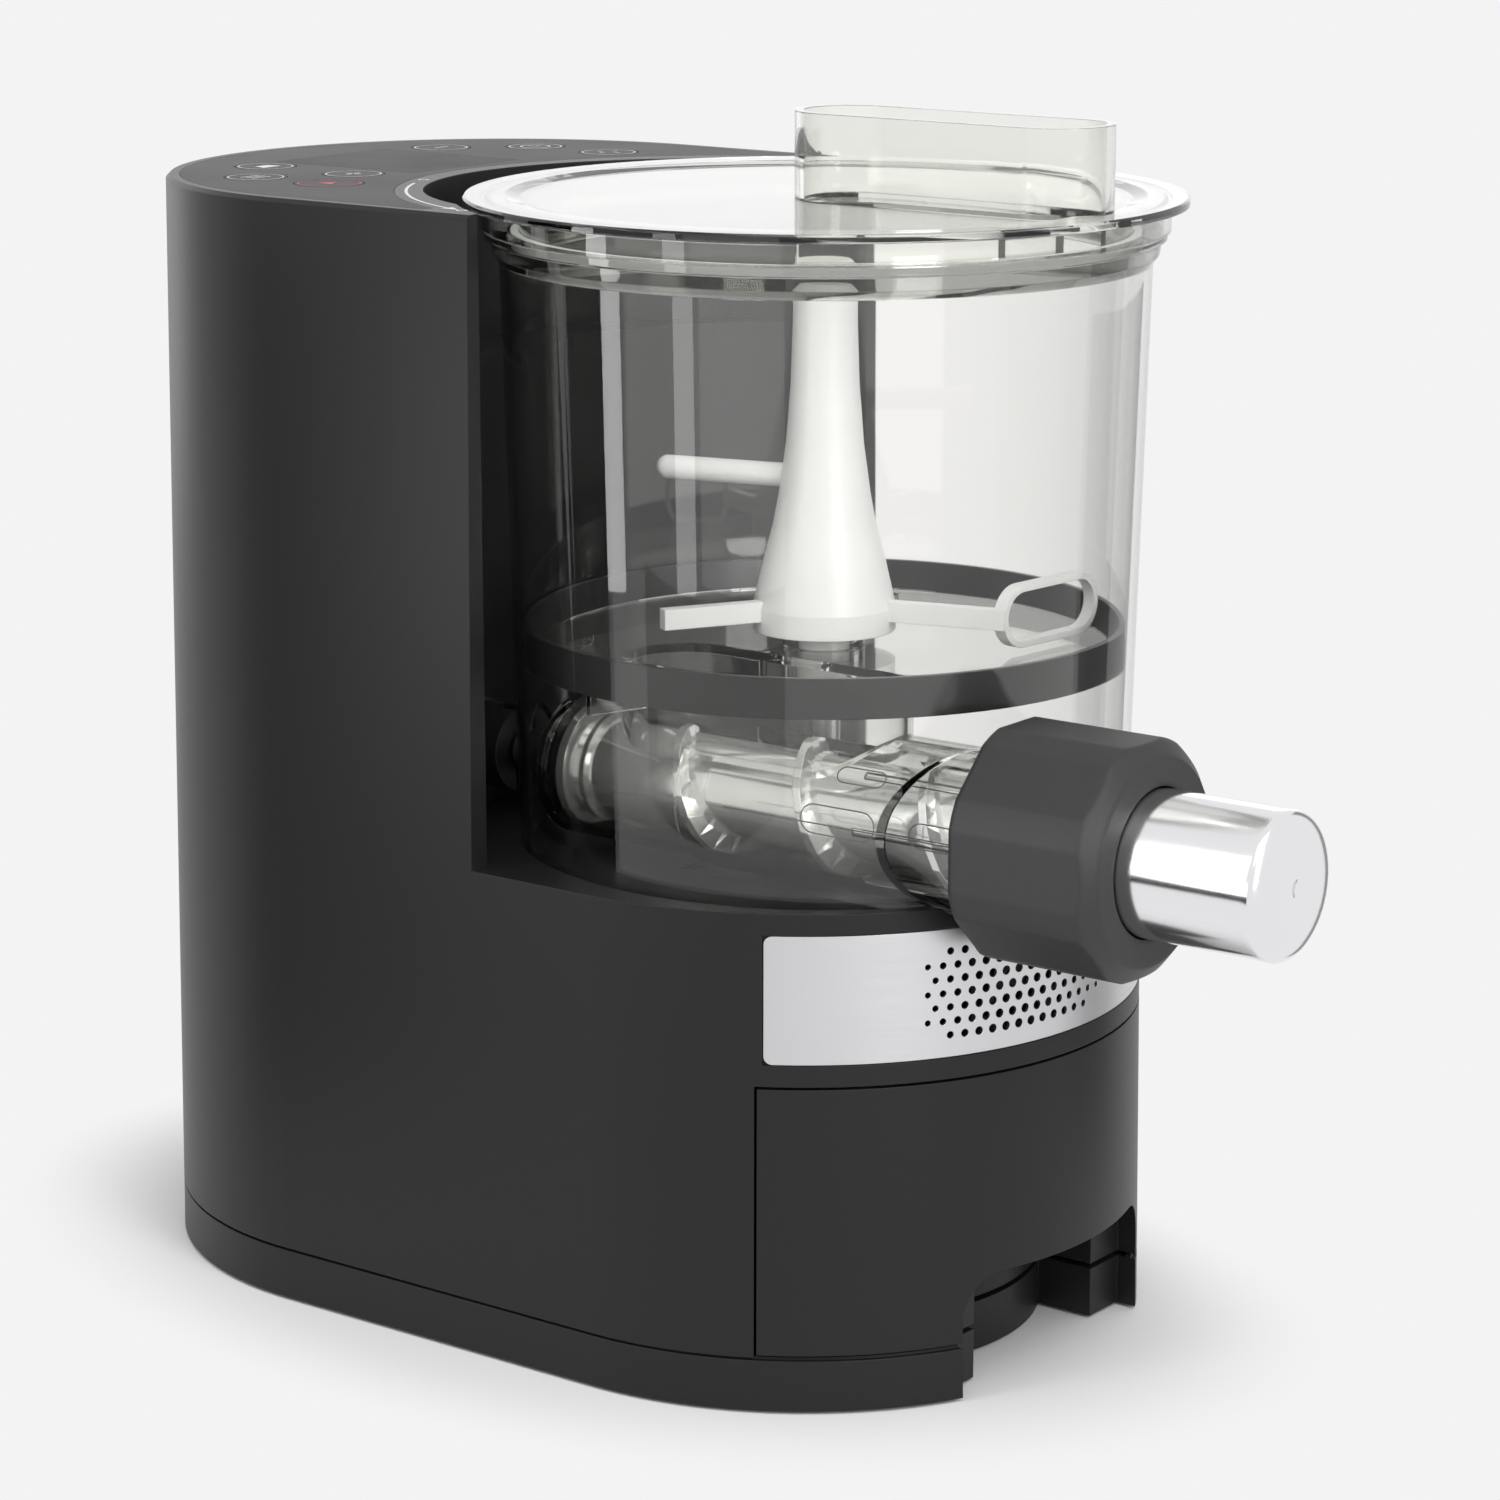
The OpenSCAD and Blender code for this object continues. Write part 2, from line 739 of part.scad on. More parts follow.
module gear_frame() color([0.6, 0.6, 0.62])
    difference() {
        union() {
            for (y = [frame_y, frame_y + frame_l + frame_t])
                translate([0, y + frame_t, 0])
                    rotate([90, 0, 0])
                        linear_extrude(frame_t)
                            frame_plan();
            for (p = posts)
                y_rod(p[0], p[1], post_r, frame_y, frame_y + frame_l + 2 * frame_t, 32);
            y_rod(-ext_x, ext_z, bearing_r + 3, frame_y - 5, frame_y + frame_t);
        }
        y_rod(-ext_x, ext_z, bearing_r, frame_y - 6, frame_y + 1.5);
        y_rod(-ext_x, ext_z, shaft_r + 2.8, frame_y - 6, frame_y + frame_t + 1);
        y_rod(-ext_x, ext_z, shaft_r + 0.03, frame_y + frame_l, frame_y + frame_l + 9);
        y_rod(pinion_x, pinion_z, 10, frame_y + frame_l, frame_y + frame_l + 9);
        for (p = posts)
            y_rod(p[0], p[1], 1.9, frame_y - 1, frame_y + frame_l + 9, 24);
    }

// Plate that ties the posts together
module frame_plan() {
    polygon([[posts[0][0] - post_r, posts[0][1]], [posts[0][0], posts[0][1] + post_r],
        [posts[3][0], posts[3][1] + post_r], [posts[3][0] + post_r, posts[3][1]],
        [posts[2][0] + post_r, posts[2][1]], [posts[2][0], posts[2][1] - post_r],
        [-ext_x, ext_z - bearing_r - 3], [posts[1][0], posts[1][1] - post_r],
        [posts[1][0] - post_r, posts[1][1]]]);
}

module frame_screws() color("silver")
    for (p = posts) {
        y_rod(p[0], p[1], 1.5, frame_y - 8, frame_y + frame_l + 2 * frame_t, 24);
        y_rod(p[0], p[1], 3.2, frame_y + frame_l + 2 * frame_t,
            frame_y + frame_l + 2 * frame_t + 2.4, 32);
    }

// Involute of a base circle: angle swept, in degrees, where the flank is at radius r
function flank(rb, r) =
    let (c = rb / r) tan(acos(min(1, c))) * 180 / PI - acos(min(1, c));

// Outline of one spur gear with n teeth of module m; g narrows each tooth for backlash
function gear_outline(n, m, g) =
    let (rp = n * m / 2, rb = rp * cos(20), ra = rp + m, rf = rp - 1.15 * m,
        half = 90 / n - g + flank(rb, rp), low = max(rf, rb), mid = (low + ra) / 2)
    [for (i = [0 : n - 1]) let (a = 360 * i / n)
        for (q = [[rf, -half * 1.02], [low, -half], [mid, -half + flank(rb, mid)],
            [ra, -half + flank(rb, ra)], [ra, half - flank(rb, ra)],
            [mid, half - flank(rb, mid)], [low, half], [rf, half * 1.02]])
            [q[0] * cos(a + q[1]), q[0] * sin(a + q[1])]];

module spur(n, m, w, turn, g) {
    rotate([90, 0, 0])
        rotate(turn)
            linear_extrude(w)
                polygon(gear_outline(n, m, g));
}

// A tooth of the drive gear and a gap of the pinion both lie on the line of centres
gear_turn = mesh_a;
pinion_turn = mesh_a + 180 + 180 / pinion_teeth;

module drive_gear() color([0.85, 0.85, 0.8])
    difference() {
        translate([-ext_x, gear_y + gear_w, ext_z])
            spur(gear_teeth, gear_m, gear_w, gear_turn, 0.12);
        y_rod(-ext_x, ext_z, shaft_r, gear_y - 1, gear_y + gear_w + 1);
        for (side = [gear_y - 1, gear_y + gear_w - 2])
            difference() {
                y_rod(-ext_x, ext_z, gear_r - 7, side, side + 3);
                y_rod(-ext_x, ext_z, shaft_r + 6, side - 1, side + 4);
            }
        for (a = [30 : 60 : 359])
            y_rod(-ext_x + 24 * cos(a), ext_z + 24 * sin(a), 6.5, gear_y - 1, gear_y + gear_w + 1, 32);
    }

module motor_pinion() color([0.7, 0.7, 0.72])
    union() {
        translate([pinion_x, gear_y + gear_w, pinion_z])
            spur(pinion_teeth, gear_m, gear_w, pinion_turn, 0.5);
        y_rod(pinion_x, pinion_z, 4, gear_y + 1, motor_y + 3, 48);
    }

// Front end of the coupling, and the gap it keeps from the bowl
coupling_r = 12.5;
coupling_y = y_bowl + sqrt(pow(bowl_r, 2) - pow(ext_x, 2)) + 3;
tail_y = coupling_y + 9;

module drive_shaft() color([0.72, 0.72, 0.74])
    difference() {
        union() {
            y_rod(-ext_x, ext_z, shaft_r - 0.05, tail_y, frame_y + frame_l + 5);
            y_rod(-ext_x, ext_z, coupling_r, coupling_y, bay_back + 1);
            y_rod(-ext_x, ext_z, shaft_r + 2, bay_back + 1, gear_y - 0.2);
        }
        block([-ext_x - tongue_t / 2 - 0.4, coupling_y - 1, ext_z - 30],
            [-ext_x + tongue_t / 2 + 0.4, tail_y + 0.5, ext_z + 30]);
    }

bay_back = y_bowl + sqrt(pow(bay_r, 2) - pow(ext_x, 2));

module drive_bearing() color([0.65, 0.65, 0.68])
    difference() {
        y_rod(-ext_x, ext_z, bearing_r - 0.05, frame_y - 5, frame_y + 1.5);
        y_rod(-ext_x, ext_z, shaft_r + 2.1, frame_y - 6, frame_y + 3);
    }

module drive_seal() color([0.1, 0.1, 0.1])
    difference() {
        y_rod(-ext_x, ext_z, seal_r - 0.1, bay_back + 2, frame_y - 5.2);
        y_rod(-ext_x, ext_z, shaft_r + 2.2, bay_back + 1, frame_y - 5);
    }

motor_y = frame_y + frame_l + 2 * frame_t;

module reduction_case() color([0.55, 0.55, 0.57])
    difference() {
        union() {
            y_rod(pinion_x, pinion_z, head_r, motor_y, motor_y + head_l);
            y_rod(pinion_x, pinion_z, 9.8, motor_y - frame_t, motor_y);
        }
        y_rod(pinion_x, pinion_z, 4.2, motor_y - frame_t - 1, motor_y + 4, 48);
    }

module main_motor() color([0.5, 0.5, 0.52]) {
    y0 = motor_y + head_l;
    y_rod(pinion_x, pinion_z, motor_r, y0, y0 + motor_l);
    y_rod(pinion_x, pinion_z, 9, y0 + motor_l, y0 + motor_l + 4);
    difference() {
        y_rod(pinion_x, pinion_z, motor_r + 1.4, y0 + 8, y0 + motor_l - 12);
        y_rod(pinion_x, pinion_z, motor_r - 1, y0 + 7, y0 + motor_l - 11);
    }
}

// ---------------------------------------------------------------- mixing drive

spindle_top = seat_z + 14;
dog_h = 6;
deck_low = seat_z - wall;

module mixer_motor() color([0.5, 0.5, 0.52])
    difference() {
        union() {
            z_rod(0, y_bowl, mix_motor_r, deck_low - mix_motor_h, deck_low);
            z_rod(0, y_bowl, 16, deck_low - mix_motor_h - 3, deck_low - mix_motor_h);
        }
        z_rod(0, y_bowl, spindle_seal_r + 0.5, deck_low - 4, deck_low + 1);
        z_rod(0, y_bowl, 4.3, deck_low - 14, deck_low + 1, 48);
    }

module mixer_spindle() color([0.75, 0.75, 0.76]) {
    z_rod(0, y_bowl, 4.2, deck_low - 12, spindle_top - dog_h, 48);
    z_rod(0, y_bowl, 9, seat_z + 1, spindle_top - dog_h, 48);
    dogs(0, spindle_top - dog_h, spindle_top);
}

// Two coupling dogs, opposite each other
module dogs(turn, z0, z1) {
    intersection() {
        difference() {
            z_rod(0, y_bowl, 9, z0, z1, 48);
            z_rod(0, y_bowl, 3, z0 - 1, z1 + 1, 32);
        }
        for (s = [-1, 1])
            translate([0, y_bowl, z0])
                rotate(turn)
                    linear_extrude(z1 - z0)
                        polygon([[s * 1.5, 1], [s * 12, 9], [s * 12, -9], [s * 1.5, -1]]);
    }
}

module spindle_seal() color([0.1, 0.1, 0.1])
    difference() {
        z_rod(0, y_bowl, spindle_seal_r - 0.1, deck_low - 3, seat_z + 0.6);
        z_rod(0, y_bowl, 4.4, deck_low - 5, seat_z + 2, 48);
    }

// ---------------------------------------------------------------- drying fan

module fan_frame() color([0.15, 0.15, 0.15])
    at_grille(grille_z)
        difference() {
            translate([-fan_w / 2, -fan_out + 0.1, -fan_w / 2])
                cube([fan_w, fan_t, fan_w]);
            rotate([90, 0, 0])
                translate([0, 0, fan_out - fan_t + 1.5])
                    cylinder(h = fan_t + 2, r = fan_w / 2 - 1.2, $fn = 64);
            rotate([90, 0, 0])
                translate([0, 0, fan_out - fan_t - 2])
                    difference() {
                        cylinder(h = 6, r = fan_w / 2 - 1.2, $fn = 64);
                        cylinder(h = 6, r = 6, $fn = 48);
                        for (a = [0 : 90 : 359])
                            rotate(a + 20)
                                translate([0, -1, 0])
                                    cube([fan_w, 2, 6]);
                    }
        }

module fan_rotor() color([0.12, 0.12, 0.12])
    at_grille(grille_z)
        rotate([90, 0, 0])
            translate([0, 0, fan_out - fan_t + 1.8]) {
                cylinder(h = fan_t - 3.2, r = 6, $fn = 48);
                for (a = [0 : 51.43 : 359])
                    rotate(a)
                        translate([5, 0, 0.6])
                            rotate([38, 0, 0])
                                translate([0, -0.5, 0.5])
                                    cube([fan_w / 2 - 7, 1, 6.4]);
            }

// ---------------------------------------------------------------- electronics

board_low = 24;
board_posts = [for (x = [-44, 44]) for (y = [y_rear - 6, y_rear + 58]) [x, y]];

module main_board() color([0.1, 0.35, 0.2])
    difference() {
        block([-50, y_rear - 12, board_low], [50, y_rear + 64, board_low + 1.6]);
        for (p = board_posts)
            z_rod(p[0], p[1], 1.6, board_low - 1, board_low + 3, 24);
    }

module board_parts() color([0.3, 0.3, 0.5]) {
    z = board_low + 1.6;
    block([-36, y_rear, z], [-8, y_rear + 30, z + 26]);
    z_rod(8, y_rear + 8, 8, z, z + 30, 48);
    z_rod(28, y_rear + 8, 6.5, z, z + 22, 48);
    block([2, y_rear + 26, z], [20, y_rear + 42, z + 15]);
    block([26, y_rear + 22, z], [30, y_rear + 50, z + 30]);
}

inlet_z = 44;
inlet_w = 27;
inlet_h = 20;

// Hole for the mains socket in the rear wall
module inlet_cut() {
    block([-inlet_w / 2, y_rear + 80, inlet_z - inlet_h / 2],
        [inlet_w / 2, y_rear + 110, inlet_z + inlet_h / 2]);
}

module power_inlet() color([0.1, 0.1, 0.1]) {
    back = y_rear + end_r(inlet_z);
    difference() {
        union() {
            block([-inlet_w / 2 + 0.15, back - 27, inlet_z - inlet_h / 2 + 0.15],
                [inlet_w / 2 - 0.15, back - 1.4, inlet_z + inlet_h / 2 - 0.15]);
            block([-inlet_w / 2 - 5, back - 8, inlet_z - inlet_h / 2 - 3],
                [inlet_w / 2 + 5, back - 5, inlet_z + inlet_h / 2 + 3]);
        }
        block([-inlet_w / 2 + 2.5, back - 20, inlet_z - inlet_h / 2 + 2.5],
            [inlet_w / 2 - 2.5, back, inlet_z + inlet_h / 2 - 2.5]);
    }
    for (p = [[-7, -2], [0, 2], [7, -2]])
        block([p[0] - 1, back - 20.5, inlet_z + p[1] - 2.5], [p[0] + 1, back - 6, inlet_z + p[1] + 2.5]);
}

module lid_switch() color([0.15, 0.15, 0.15]) {
    block([shelf_x - 8, shelf_back - 8, shelf_z], [shelf_x + 8, shelf_back, shelf_z + 12]);
    block([shelf_x, shelf_back - 10.4, shelf_z + 9], [shelf_x + 6, shelf_back - 8, shelf_z + 10]);
}

// ---------------------------------------------------------------- drawer

tray_z = drawer_z + 3;
runner_x = 60;

module drawer_front() color([0.2, 0.2, 0.2])
    difference() {
        union() {
            plate_band(drawer_z, drawer_top, drawer_a, 0, wall);
            intersection() {
                drafted_plan(drawer_z, arch_h + wall, 1);
                translate([0, 0, drawer_z])
                    linear_extrude(arch_h + wall - drawer_z)
                        pocket_wall_plan();
            }
        }
        pocket_space();
    }

// Distance from the bowl axis to the rearmost corners of the pocket wall
pocket_back = sqrt(pow(pocket_r - wall, 2) - pow(pocket_w + wall, 2));

module tray_plan(grow) {
    w = 74 - grow;
    back = y_front - 60 + tray_l - grow;
    difference() {
        intersection() {
            translate([-w, y_front - 110])
                square([2 * w, back - y_front + 110]);
            translate([0, y_front])
                union() {
                    circle(r = end_r(drawer_top) - wall - 0.3 - grow, $fn = fine);
                    translate([-100, 0])
                        square([200, 100]);
                }
        }
        translate([-arch_w - wall - 0.3 - grow, y_bowl - 120])
            square([2 * (arch_w + wall + 0.3 + grow), 120 - pocket_step + wall + 0.3 + grow]);
        translate([-pocket_w - wall - 0.3 - grow, y_bowl - 120])
            square([2 * (pocket_w + wall + 0.3 + grow), 120.3 - pocket_back + grow]);
    }
}

module drawer_tray() color([0.3, 0.3, 0.3])
    difference() {
        translate([0, 0, tray_z])
            linear_extrude(tray_h)
                tray_plan(0);
        translate([0, 0, tray_z + 2])
            linear_extrude(tray_h)
                tray_plan(2);
    }

// ---------------------------------------------------------------- bowl

wall_slope = (bowl_top_r - bowl_r) / (rim_z - seat_z);
function bowl_at(z) = bowl_r + wall_slope * (z - seat_z);

module bowl() color([0.75, 0.78, 0.76, 0.35])
    difference() {
        translate([0, y_bowl, 0])
            rotate_extrude($fn = fine)
                polygon([[bowl_r, seat_z], [bowl_at(316), 316], [bowl_at(317) + 1.8, 318.5],
                    [rim_r - 1.5, rim_z - 0.6], [rim_r, rim_z], [rim_r, rim_z + rim_t],
                    [bowl_at(320) - bowl_t, rim_z + rim_t], [bowl_at(318) - bowl_t, 318],
                    [bowl_r - bowl_t, seat_z]]);
        y_rod(-ext_x, ext_z, barrel_r + barrel_t + 0.1, y_bowl - 110, y_bowl - 60);
        block([-ext_x - tail_half, y_bowl + 60, seat_z - 1],
            [-ext_x + tail_half, y_bowl + 110, ext_z]);
        y_rod(-ext_x, ext_z, tail_half, y_bowl + 60, y_bowl + 110);
    }

tail_half = coupling_r + 1.5;
feed_top_z = floor_z - floor_t;
floor_r = bowl_at(floor_z) - bowl_t - 3.8;
feed_len = feed_back + feed_front;

// Space from the bowl down into the barrel
module feed_space(grow, z0, z1) {
    translate([-ext_x, y_bowl + (feed_back - feed_front) / 2, z0])
        linear_extrude(z1 - z0)
            slot_plan(2 * (feed_w + grow), feed_len + 2 * grow);
}

module bowl_base() color([0.7, 0.73, 0.71, 0.4])
    difference() {
        union() {
            z_rod(0, y_bowl, floor_r, feed_top_z, floor_z, fine);
            feed_space(2.5, ext_z + 6, feed_top_z + eps);
            y_rod(-ext_x, ext_z, barrel_r + barrel_rear_t, y_bowl - 40, y_barrel, fine);
            y_rod(-ext_x, ext_z, barrel_r + barrel_t, y_ring + 2, y_bowl + 8, fine);
            y_rod(-ext_x, ext_z, barrel_r + barrel_t + 0.6, y_ring + 2, y_ring + 4, fine);
            y_rod(-ext_x, ext_z, barrel_r + barrel_t - 0.4, y_ring - 16, y_ring + 3, fine);
            z_rod(0, y_bowl, 12, floor_z - 14, floor_z + 4);
            for (s = [-1, 1])
                translate([0, y_bowl, 0])
                    rotate(s * 70 + 90)
                        block([12, -1.2, floor_z - 12], [80, 1.2, feed_top_z + eps]);
        }
        feed_space(0, ext_z, floor_z + 20);
        y_rod(-ext_x, ext_z, barrel_r, y_ring - 30, y_barrel - 3, fine);
        y_rod(-ext_x, ext_z, bush_r, y_barrel - 4, y_barrel + 1);
        z_rod(0, y_bowl, paddle_shaft_r + 2.6, floor_z - 20, floor_z + 10);
        for (a = [0 : 45 : 359])
            translate([-ext_x + barrel_r * cos(a), 0, ext_z + barrel_r * sin(a)])
                y_rod(0, 0, 1.1, y_ring - 20, y_bowl - 53, 16);
    }

// Dark raised ring that seals the floor to the bowl wall
module floor_seal() color([0.06, 0.06, 0.06])
    difference() {
        z_rod(0, y_bowl, floor_r + 3.4, feed_top_z, floor_z + floor_lip, fine);
        z_rod(0, y_bowl, floor_r + 0.02, feed_top_z - 1, floor_z + 0.5, fine);
        translate([0, y_bowl, floor_z])
            cylinder(h = floor_lip + 1, r1 = floor_r, r2 = floor_r + 1.8, $fn = fine);
    }

bush_r = 10;

module barrel_seal() color([0.1, 0.1, 0.1])
    difference() {
        union() {
            y_rod(-ext_x, ext_z, bush_r - 0.1, y_barrel - 3, y_barrel + 2);
            y_rod(-ext_x, ext_z, bush_r + 3, y_barrel + 0.2, y_barrel + 2);
        }
        y_rod(-ext_x, ext_z, shaft_r + 0.1, y_barrel - 4, y_barrel + 3);
    }

module shaft_bush() color([0.9, 0.9, 0.88])
    difference() {
        union() {
            z_rod(0, y_bowl, paddle_shaft_r + 2.5, floor_z - 15, floor_z + 4);
            z_rod(0, y_bowl, paddle_shaft_r + 5, floor_z - 16, floor_z - 14.2);
        }
        z_rod(0, y_bowl, paddle_shaft_r + 0.08, floor_z - 17, floor_z + 5);
    }

// ---------------------------------------------------------------- auger

flight_r = barrel_r - auger_gap;
auger_rear = y_barrel - 4.5;
auger_front = y_ring - 12;
flight_start = y_bowl + 30;
flight_turns = (flight_start - auger_front - 4) / pitch;
flight_steps = 20;

// Ring of points across the flight at a turn t, as thick at its root as at its edge
function flight_ring(t) =
    let (a = 360 * t, y = flight_start - pitch * t, grow = min(1, t * 3),
        r1 = core_r - 1.5, r2 = core_r + (flight_r - core_r) * grow)
    [for (q = [[r1, 2.4], [r2, 1.3], [r2, -1.3], [r1, -2.4]])
        [q[0] * cos(a), y + q[1], q[0] * sin(a)]];

module flight() {
    n = ceil(flight_turns * flight_steps);
    rings = [for (i = [0 : n]) flight_ring(flight_turns * i / n)];
    points = [for (r = rings) for (p = r) p];
    sides = [for (i = [0 : n - 1]) for (j = [0 : 3])
        let (a = 4 * i + j, b = 4 * i + (j + 1) % 4)
            for (f = [[a, b, b + 4], [a, b + 4, a + 4]]) f];
    faces = concat(sides, [[3, 2, 1, 0]], [[4 * n, 4 * n + 1, 4 * n + 2, 4 * n + 3]]);
    translate([-ext_x, 0, ext_z])
        polyhedron(points, faces);
}

module auger() color([0.93, 0.93, 0.92]) {
    difference() {
        y_rod(-ext_x, ext_z, core_r, auger_front, auger_rear, 48);
        y_rod(-ext_x, ext_z, shaft_r, auger_front + 20, auger_rear + 1, 48);
    }
    flight();
}

module auger_shaft() color([0.75, 0.75, 0.77])
    difference() {
        y_rod(-ext_x, ext_z, shaft_r - 0.02, auger_front + 22, tail_y, 48);
        for (s = [-1, 1])
            translate([-ext_x + s * (tongue_t / 2 + 10), tail_y, ext_z])
                cube([20, 2 * (tail_y - coupling_y + 1), 30], center = true);
    }

// ---------------------------------------------------------------- mixing paddle

module paddle_shaft() color([0.75, 0.75, 0.77]) {
    z_rod(0, y_bowl, paddle_shaft_r, spindle_top + 0.4, shaft_top, 48);
    z_rod(0, y_bowl, 9, spindle_top + 0.4, spindle_top + 6, 48);
    dogs(90, spindle_top - dog_h + 0.4, spindle_top + 0.4);
}

column_low = floor_z + 4.6;
blade_low = floor_z + 1.8;
shaft_top = rod_z + 10;

module mixing_paddle() color([0.93, 0.93, 0.92]) {
    difference() {
        translate([0, y_bowl, 0])
            rotate_extrude($fn = 64)
                polygon([[0, column_low], [column_foot_r, column_low], [column_foot_r, column_low + 7],
                    [18, column_low + 20], [15.2, 238], [13.5, 247], [11.4, 262], [10, 280],
                    [column_r, 298], [column_r, column_top - 2], [column_r - 2, column_top],
                    [0, column_top]]);
        z_rod(0, y_bowl, paddle_shaft_r + 0.02, column_low - 1, shaft_top, 48);
    }
    translate([0, y_bowl, blade_low])
        lower_blade();
    translate([0, y_bowl, rod_z])
        rotate([0, 0, 104])
            rotate([0, 90, 0]) {
                translate([0, 0, paddle_shaft_r + 3])
                    cylinder(h = rod_reach - paddle_shaft_r - 3, r = rod_r, $fn = 32);
                translate([0, 0, rod_reach])
                    sphere(r = rod_r, $fn = 32);
            }
}

// Arm at the bowl floor that ends in a loop with a long window, and a plain arm opposite
loop_mid = [35, -55];
loop_turn = -6.4;
loop_rim = 2;
module lower_blade() {
    root = loop_mid + (loop_rim - loop_l) / 2 * [cos(loop_turn), sin(loop_turn)];
    translate([loop_mid[0], loop_mid[1], blade_h / 2])
        rotate([0, 0, loop_turn])
            rotate([90, 0, 0])
                translate([0, 0, -blade_t / 2])
                    linear_extrude(blade_t)
                        difference() {
                            rotate(90)
                                slot_plan(blade_h, loop_l);
                            rotate(90)
                                slot_plan(blade_h - 2 * loop_rim, loop_l - 2 * loop_rim);
                        }
    rotate(atan2(root[1], root[0]))
        translate([column_foot_r - 3, -blade_t / 2, blade_h / 2 - 3])
            cube([norm(root) - column_foot_r + 4.5, blade_t, 6]);
    rotate(150)
        translate([column_foot_r - 3, -blade_t / 2, blade_h / 2 - 3])
            cube([blade_reach - 24 - column_foot_r, blade_t, 6]);
}

// ---------------------------------------------------------------- lid

lid_z = rim_z + rim_t;
disc_z = lid_z + collar_h;

module chute_shape(grow, z0, z1) {
    translate([0, y_bowl - chute_fwd, z0])
        linear_extrude(z1 - z0)
            slot_plan(chute_w + 2 * grow, chute_l + 2 * grow);
}

// Blocks inside the collar that turn under the catches of the bowl rim
catch_a = 17;
module lid_catches() {
    intersection() {
        difference() {
            z_rod(0, y_bowl, collar_r - 1, lid_z + 0.8, disc_z - 0.5, fine);
            z_rod(0, y_bowl, collar_r - 7, lid_z, disc_z, fine);
        }
        for (a = [-41.5 : 120 : 200])
            translate([0, y_bowl, lid_z])
                rotate(a - 90)
                    linear_extrude(collar_h)
                        polygon([[80, -80 * tan(catch_a)], [110, -110 * tan(catch_a)],
                            [110, 110 * tan(catch_a)], [80, 80 * tan(catch_a)]]);
    }
}

module lid() color([0.78, 0.8, 0.79, 0.35])
    difference() {
        union() {
            lid_catches();
            difference() {
                translate([0, y_bowl, 0])
                    rotate_extrude($fn = fine)
                        polygon([[0, disc_z - 1.2], [86, disc_z - 1.2], [86, 316], [88.2, 316],
                            [88.2, disc_z - 1], [collar_r - 2, disc_z - 1], [collar_r - 2, lid_z],
                            [collar_r, lid_z], [collar_r, disc_z], [lid_r, disc_z],
                            [lid_r, disc_z + lid_t - 0.6], [lid_r - 0.6, disc_z + lid_t],
                            [92, disc_z + lid_t], [88, disc_z + 1.4], [0, disc_z + 1.4]]);
            }
            chute_shape(0, disc_z - 1, disc_z + lid_t + chute_h);
        }
        chute_shape(-chute_t, disc_z - 10, disc_z + lid_t + chute_h + 1);
    }

module lid_seal() color([0.8, 0.8, 0.8, 0.6])
    translate([0, y_bowl, 0])
        rotate_extrude($fn = fine)
            polygon([[88.3, 322], [90.6, 322], [90.6, 325], [88.3, 325]]);

// ---------------------------------------------------------------- nose

thread_r = barrel_r + barrel_t - 0.4;
die_flange_y = y_ring - 16.2;

// Eight flats with well rounded corners between them
module ring_plan(r) {
    intersection() {
        circle(r = r, $fn = 64);
        rotate(22.5)
            circle(r = r * 1.045, $fn = 8);
    }
}

module ring_nut() color([0.17, 0.17, 0.17])
    difference() {
        union() {
            translate([-ext_x, y_ring, ext_z])
                rotate([90, 0, 0])
                    linear_extrude(ring_l - 5)
                        ring_plan(ring_r);
            intersection() {
                translate([-ext_x, y_ring, ext_z])
                    rotate([90, 0, 0])
                        linear_extrude(ring_l)
                            ring_plan(ring_r);
                translate([-ext_x, y_ring - ring_l + 6, ext_z])
                    rotate([90, 0, 0])
                        cylinder(h = 6, r1 = ring_r + 2, r2 = ring_r - 5, $fn = 64);
            }
        }
        y_rod(-ext_x, ext_z, thread_r + 0.3, die_flange_y + 0.6, y_ring + 1);
        y_rod(-ext_x, ext_z, die_r + 2.6, die_flange_y - 4.3, y_ring + 1);
        y_rod(-ext_x, ext_z, die_r + 0.5, y_nose - 1, y_ring);
    }

module die_cylinder() color([0.85, 0.85, 0.87])
    difference() {
        union() {
            y_rod(-ext_x, ext_z, die_r, y_tip + 5, die_flange_y, fine);
            y_rod(-ext_x, ext_z, die_r + 2.3, die_flange_y - 4, die_flange_y, fine);
            translate([-ext_x, y_tip + 5, ext_z])
                rotate([90, 0, 0])
                    rotate_extrude($fn = fine)
                        polygon([[0, 0], [die_r, 0], [die_r - 0.6, 1.9], [die_r - 2.6, 3.4],
                            [die_r - 6, 4.5], [4, 5], [2.5, 4.4], [0, 4.1]]);
        }
        y_rod(-ext_x, ext_z, die_r - die_t, y_tip + 5 + die_t, die_flange_y + 1, fine);
        for (row = [-1 : 1])
            for (i = [0 : 6 - abs(row)])
                translate([-ext_x + row * 6, y_nose - 5 - abs(row) * 2.5 - i * 5, ext_z - die_r - 3])
                    cylinder(h = die_r, r = pasta_r, $fn = 24);
    }

// ---------------------------------------------------------------- assembly

housing_shell();
base_plate();
rubber_feet();
base_screws();
front_plate();
top_panel();
display_window();
display_module();
control_board();
key_switches();
start_key();
menu_key();
weight_key();
plus_key();
minus_key();
timer_key();
light_key();
gear_frame();
frame_screws();
main_motor();
reduction_case();
motor_pinion();
drive_gear();
drive_shaft();
drive_bearing();
drive_seal();
mixer_motor();
mixer_spindle();
spindle_seal();
fan_frame();
fan_rotor();
main_board();
board_parts();
power_inlet();
lid_switch();
drawer_front();
drawer_tray();
bowl();
bowl_base();
floor_seal();
shaft_bush();
barrel_seal();
auger();
auger_shaft();
mixing_paddle();
paddle_shaft();
lid();
lid_seal();
ring_nut();
die_cylinder();
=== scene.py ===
"""Looks of the electric pasta maker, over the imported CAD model. Metres, Z up, front towards -Y."""
import json
import math

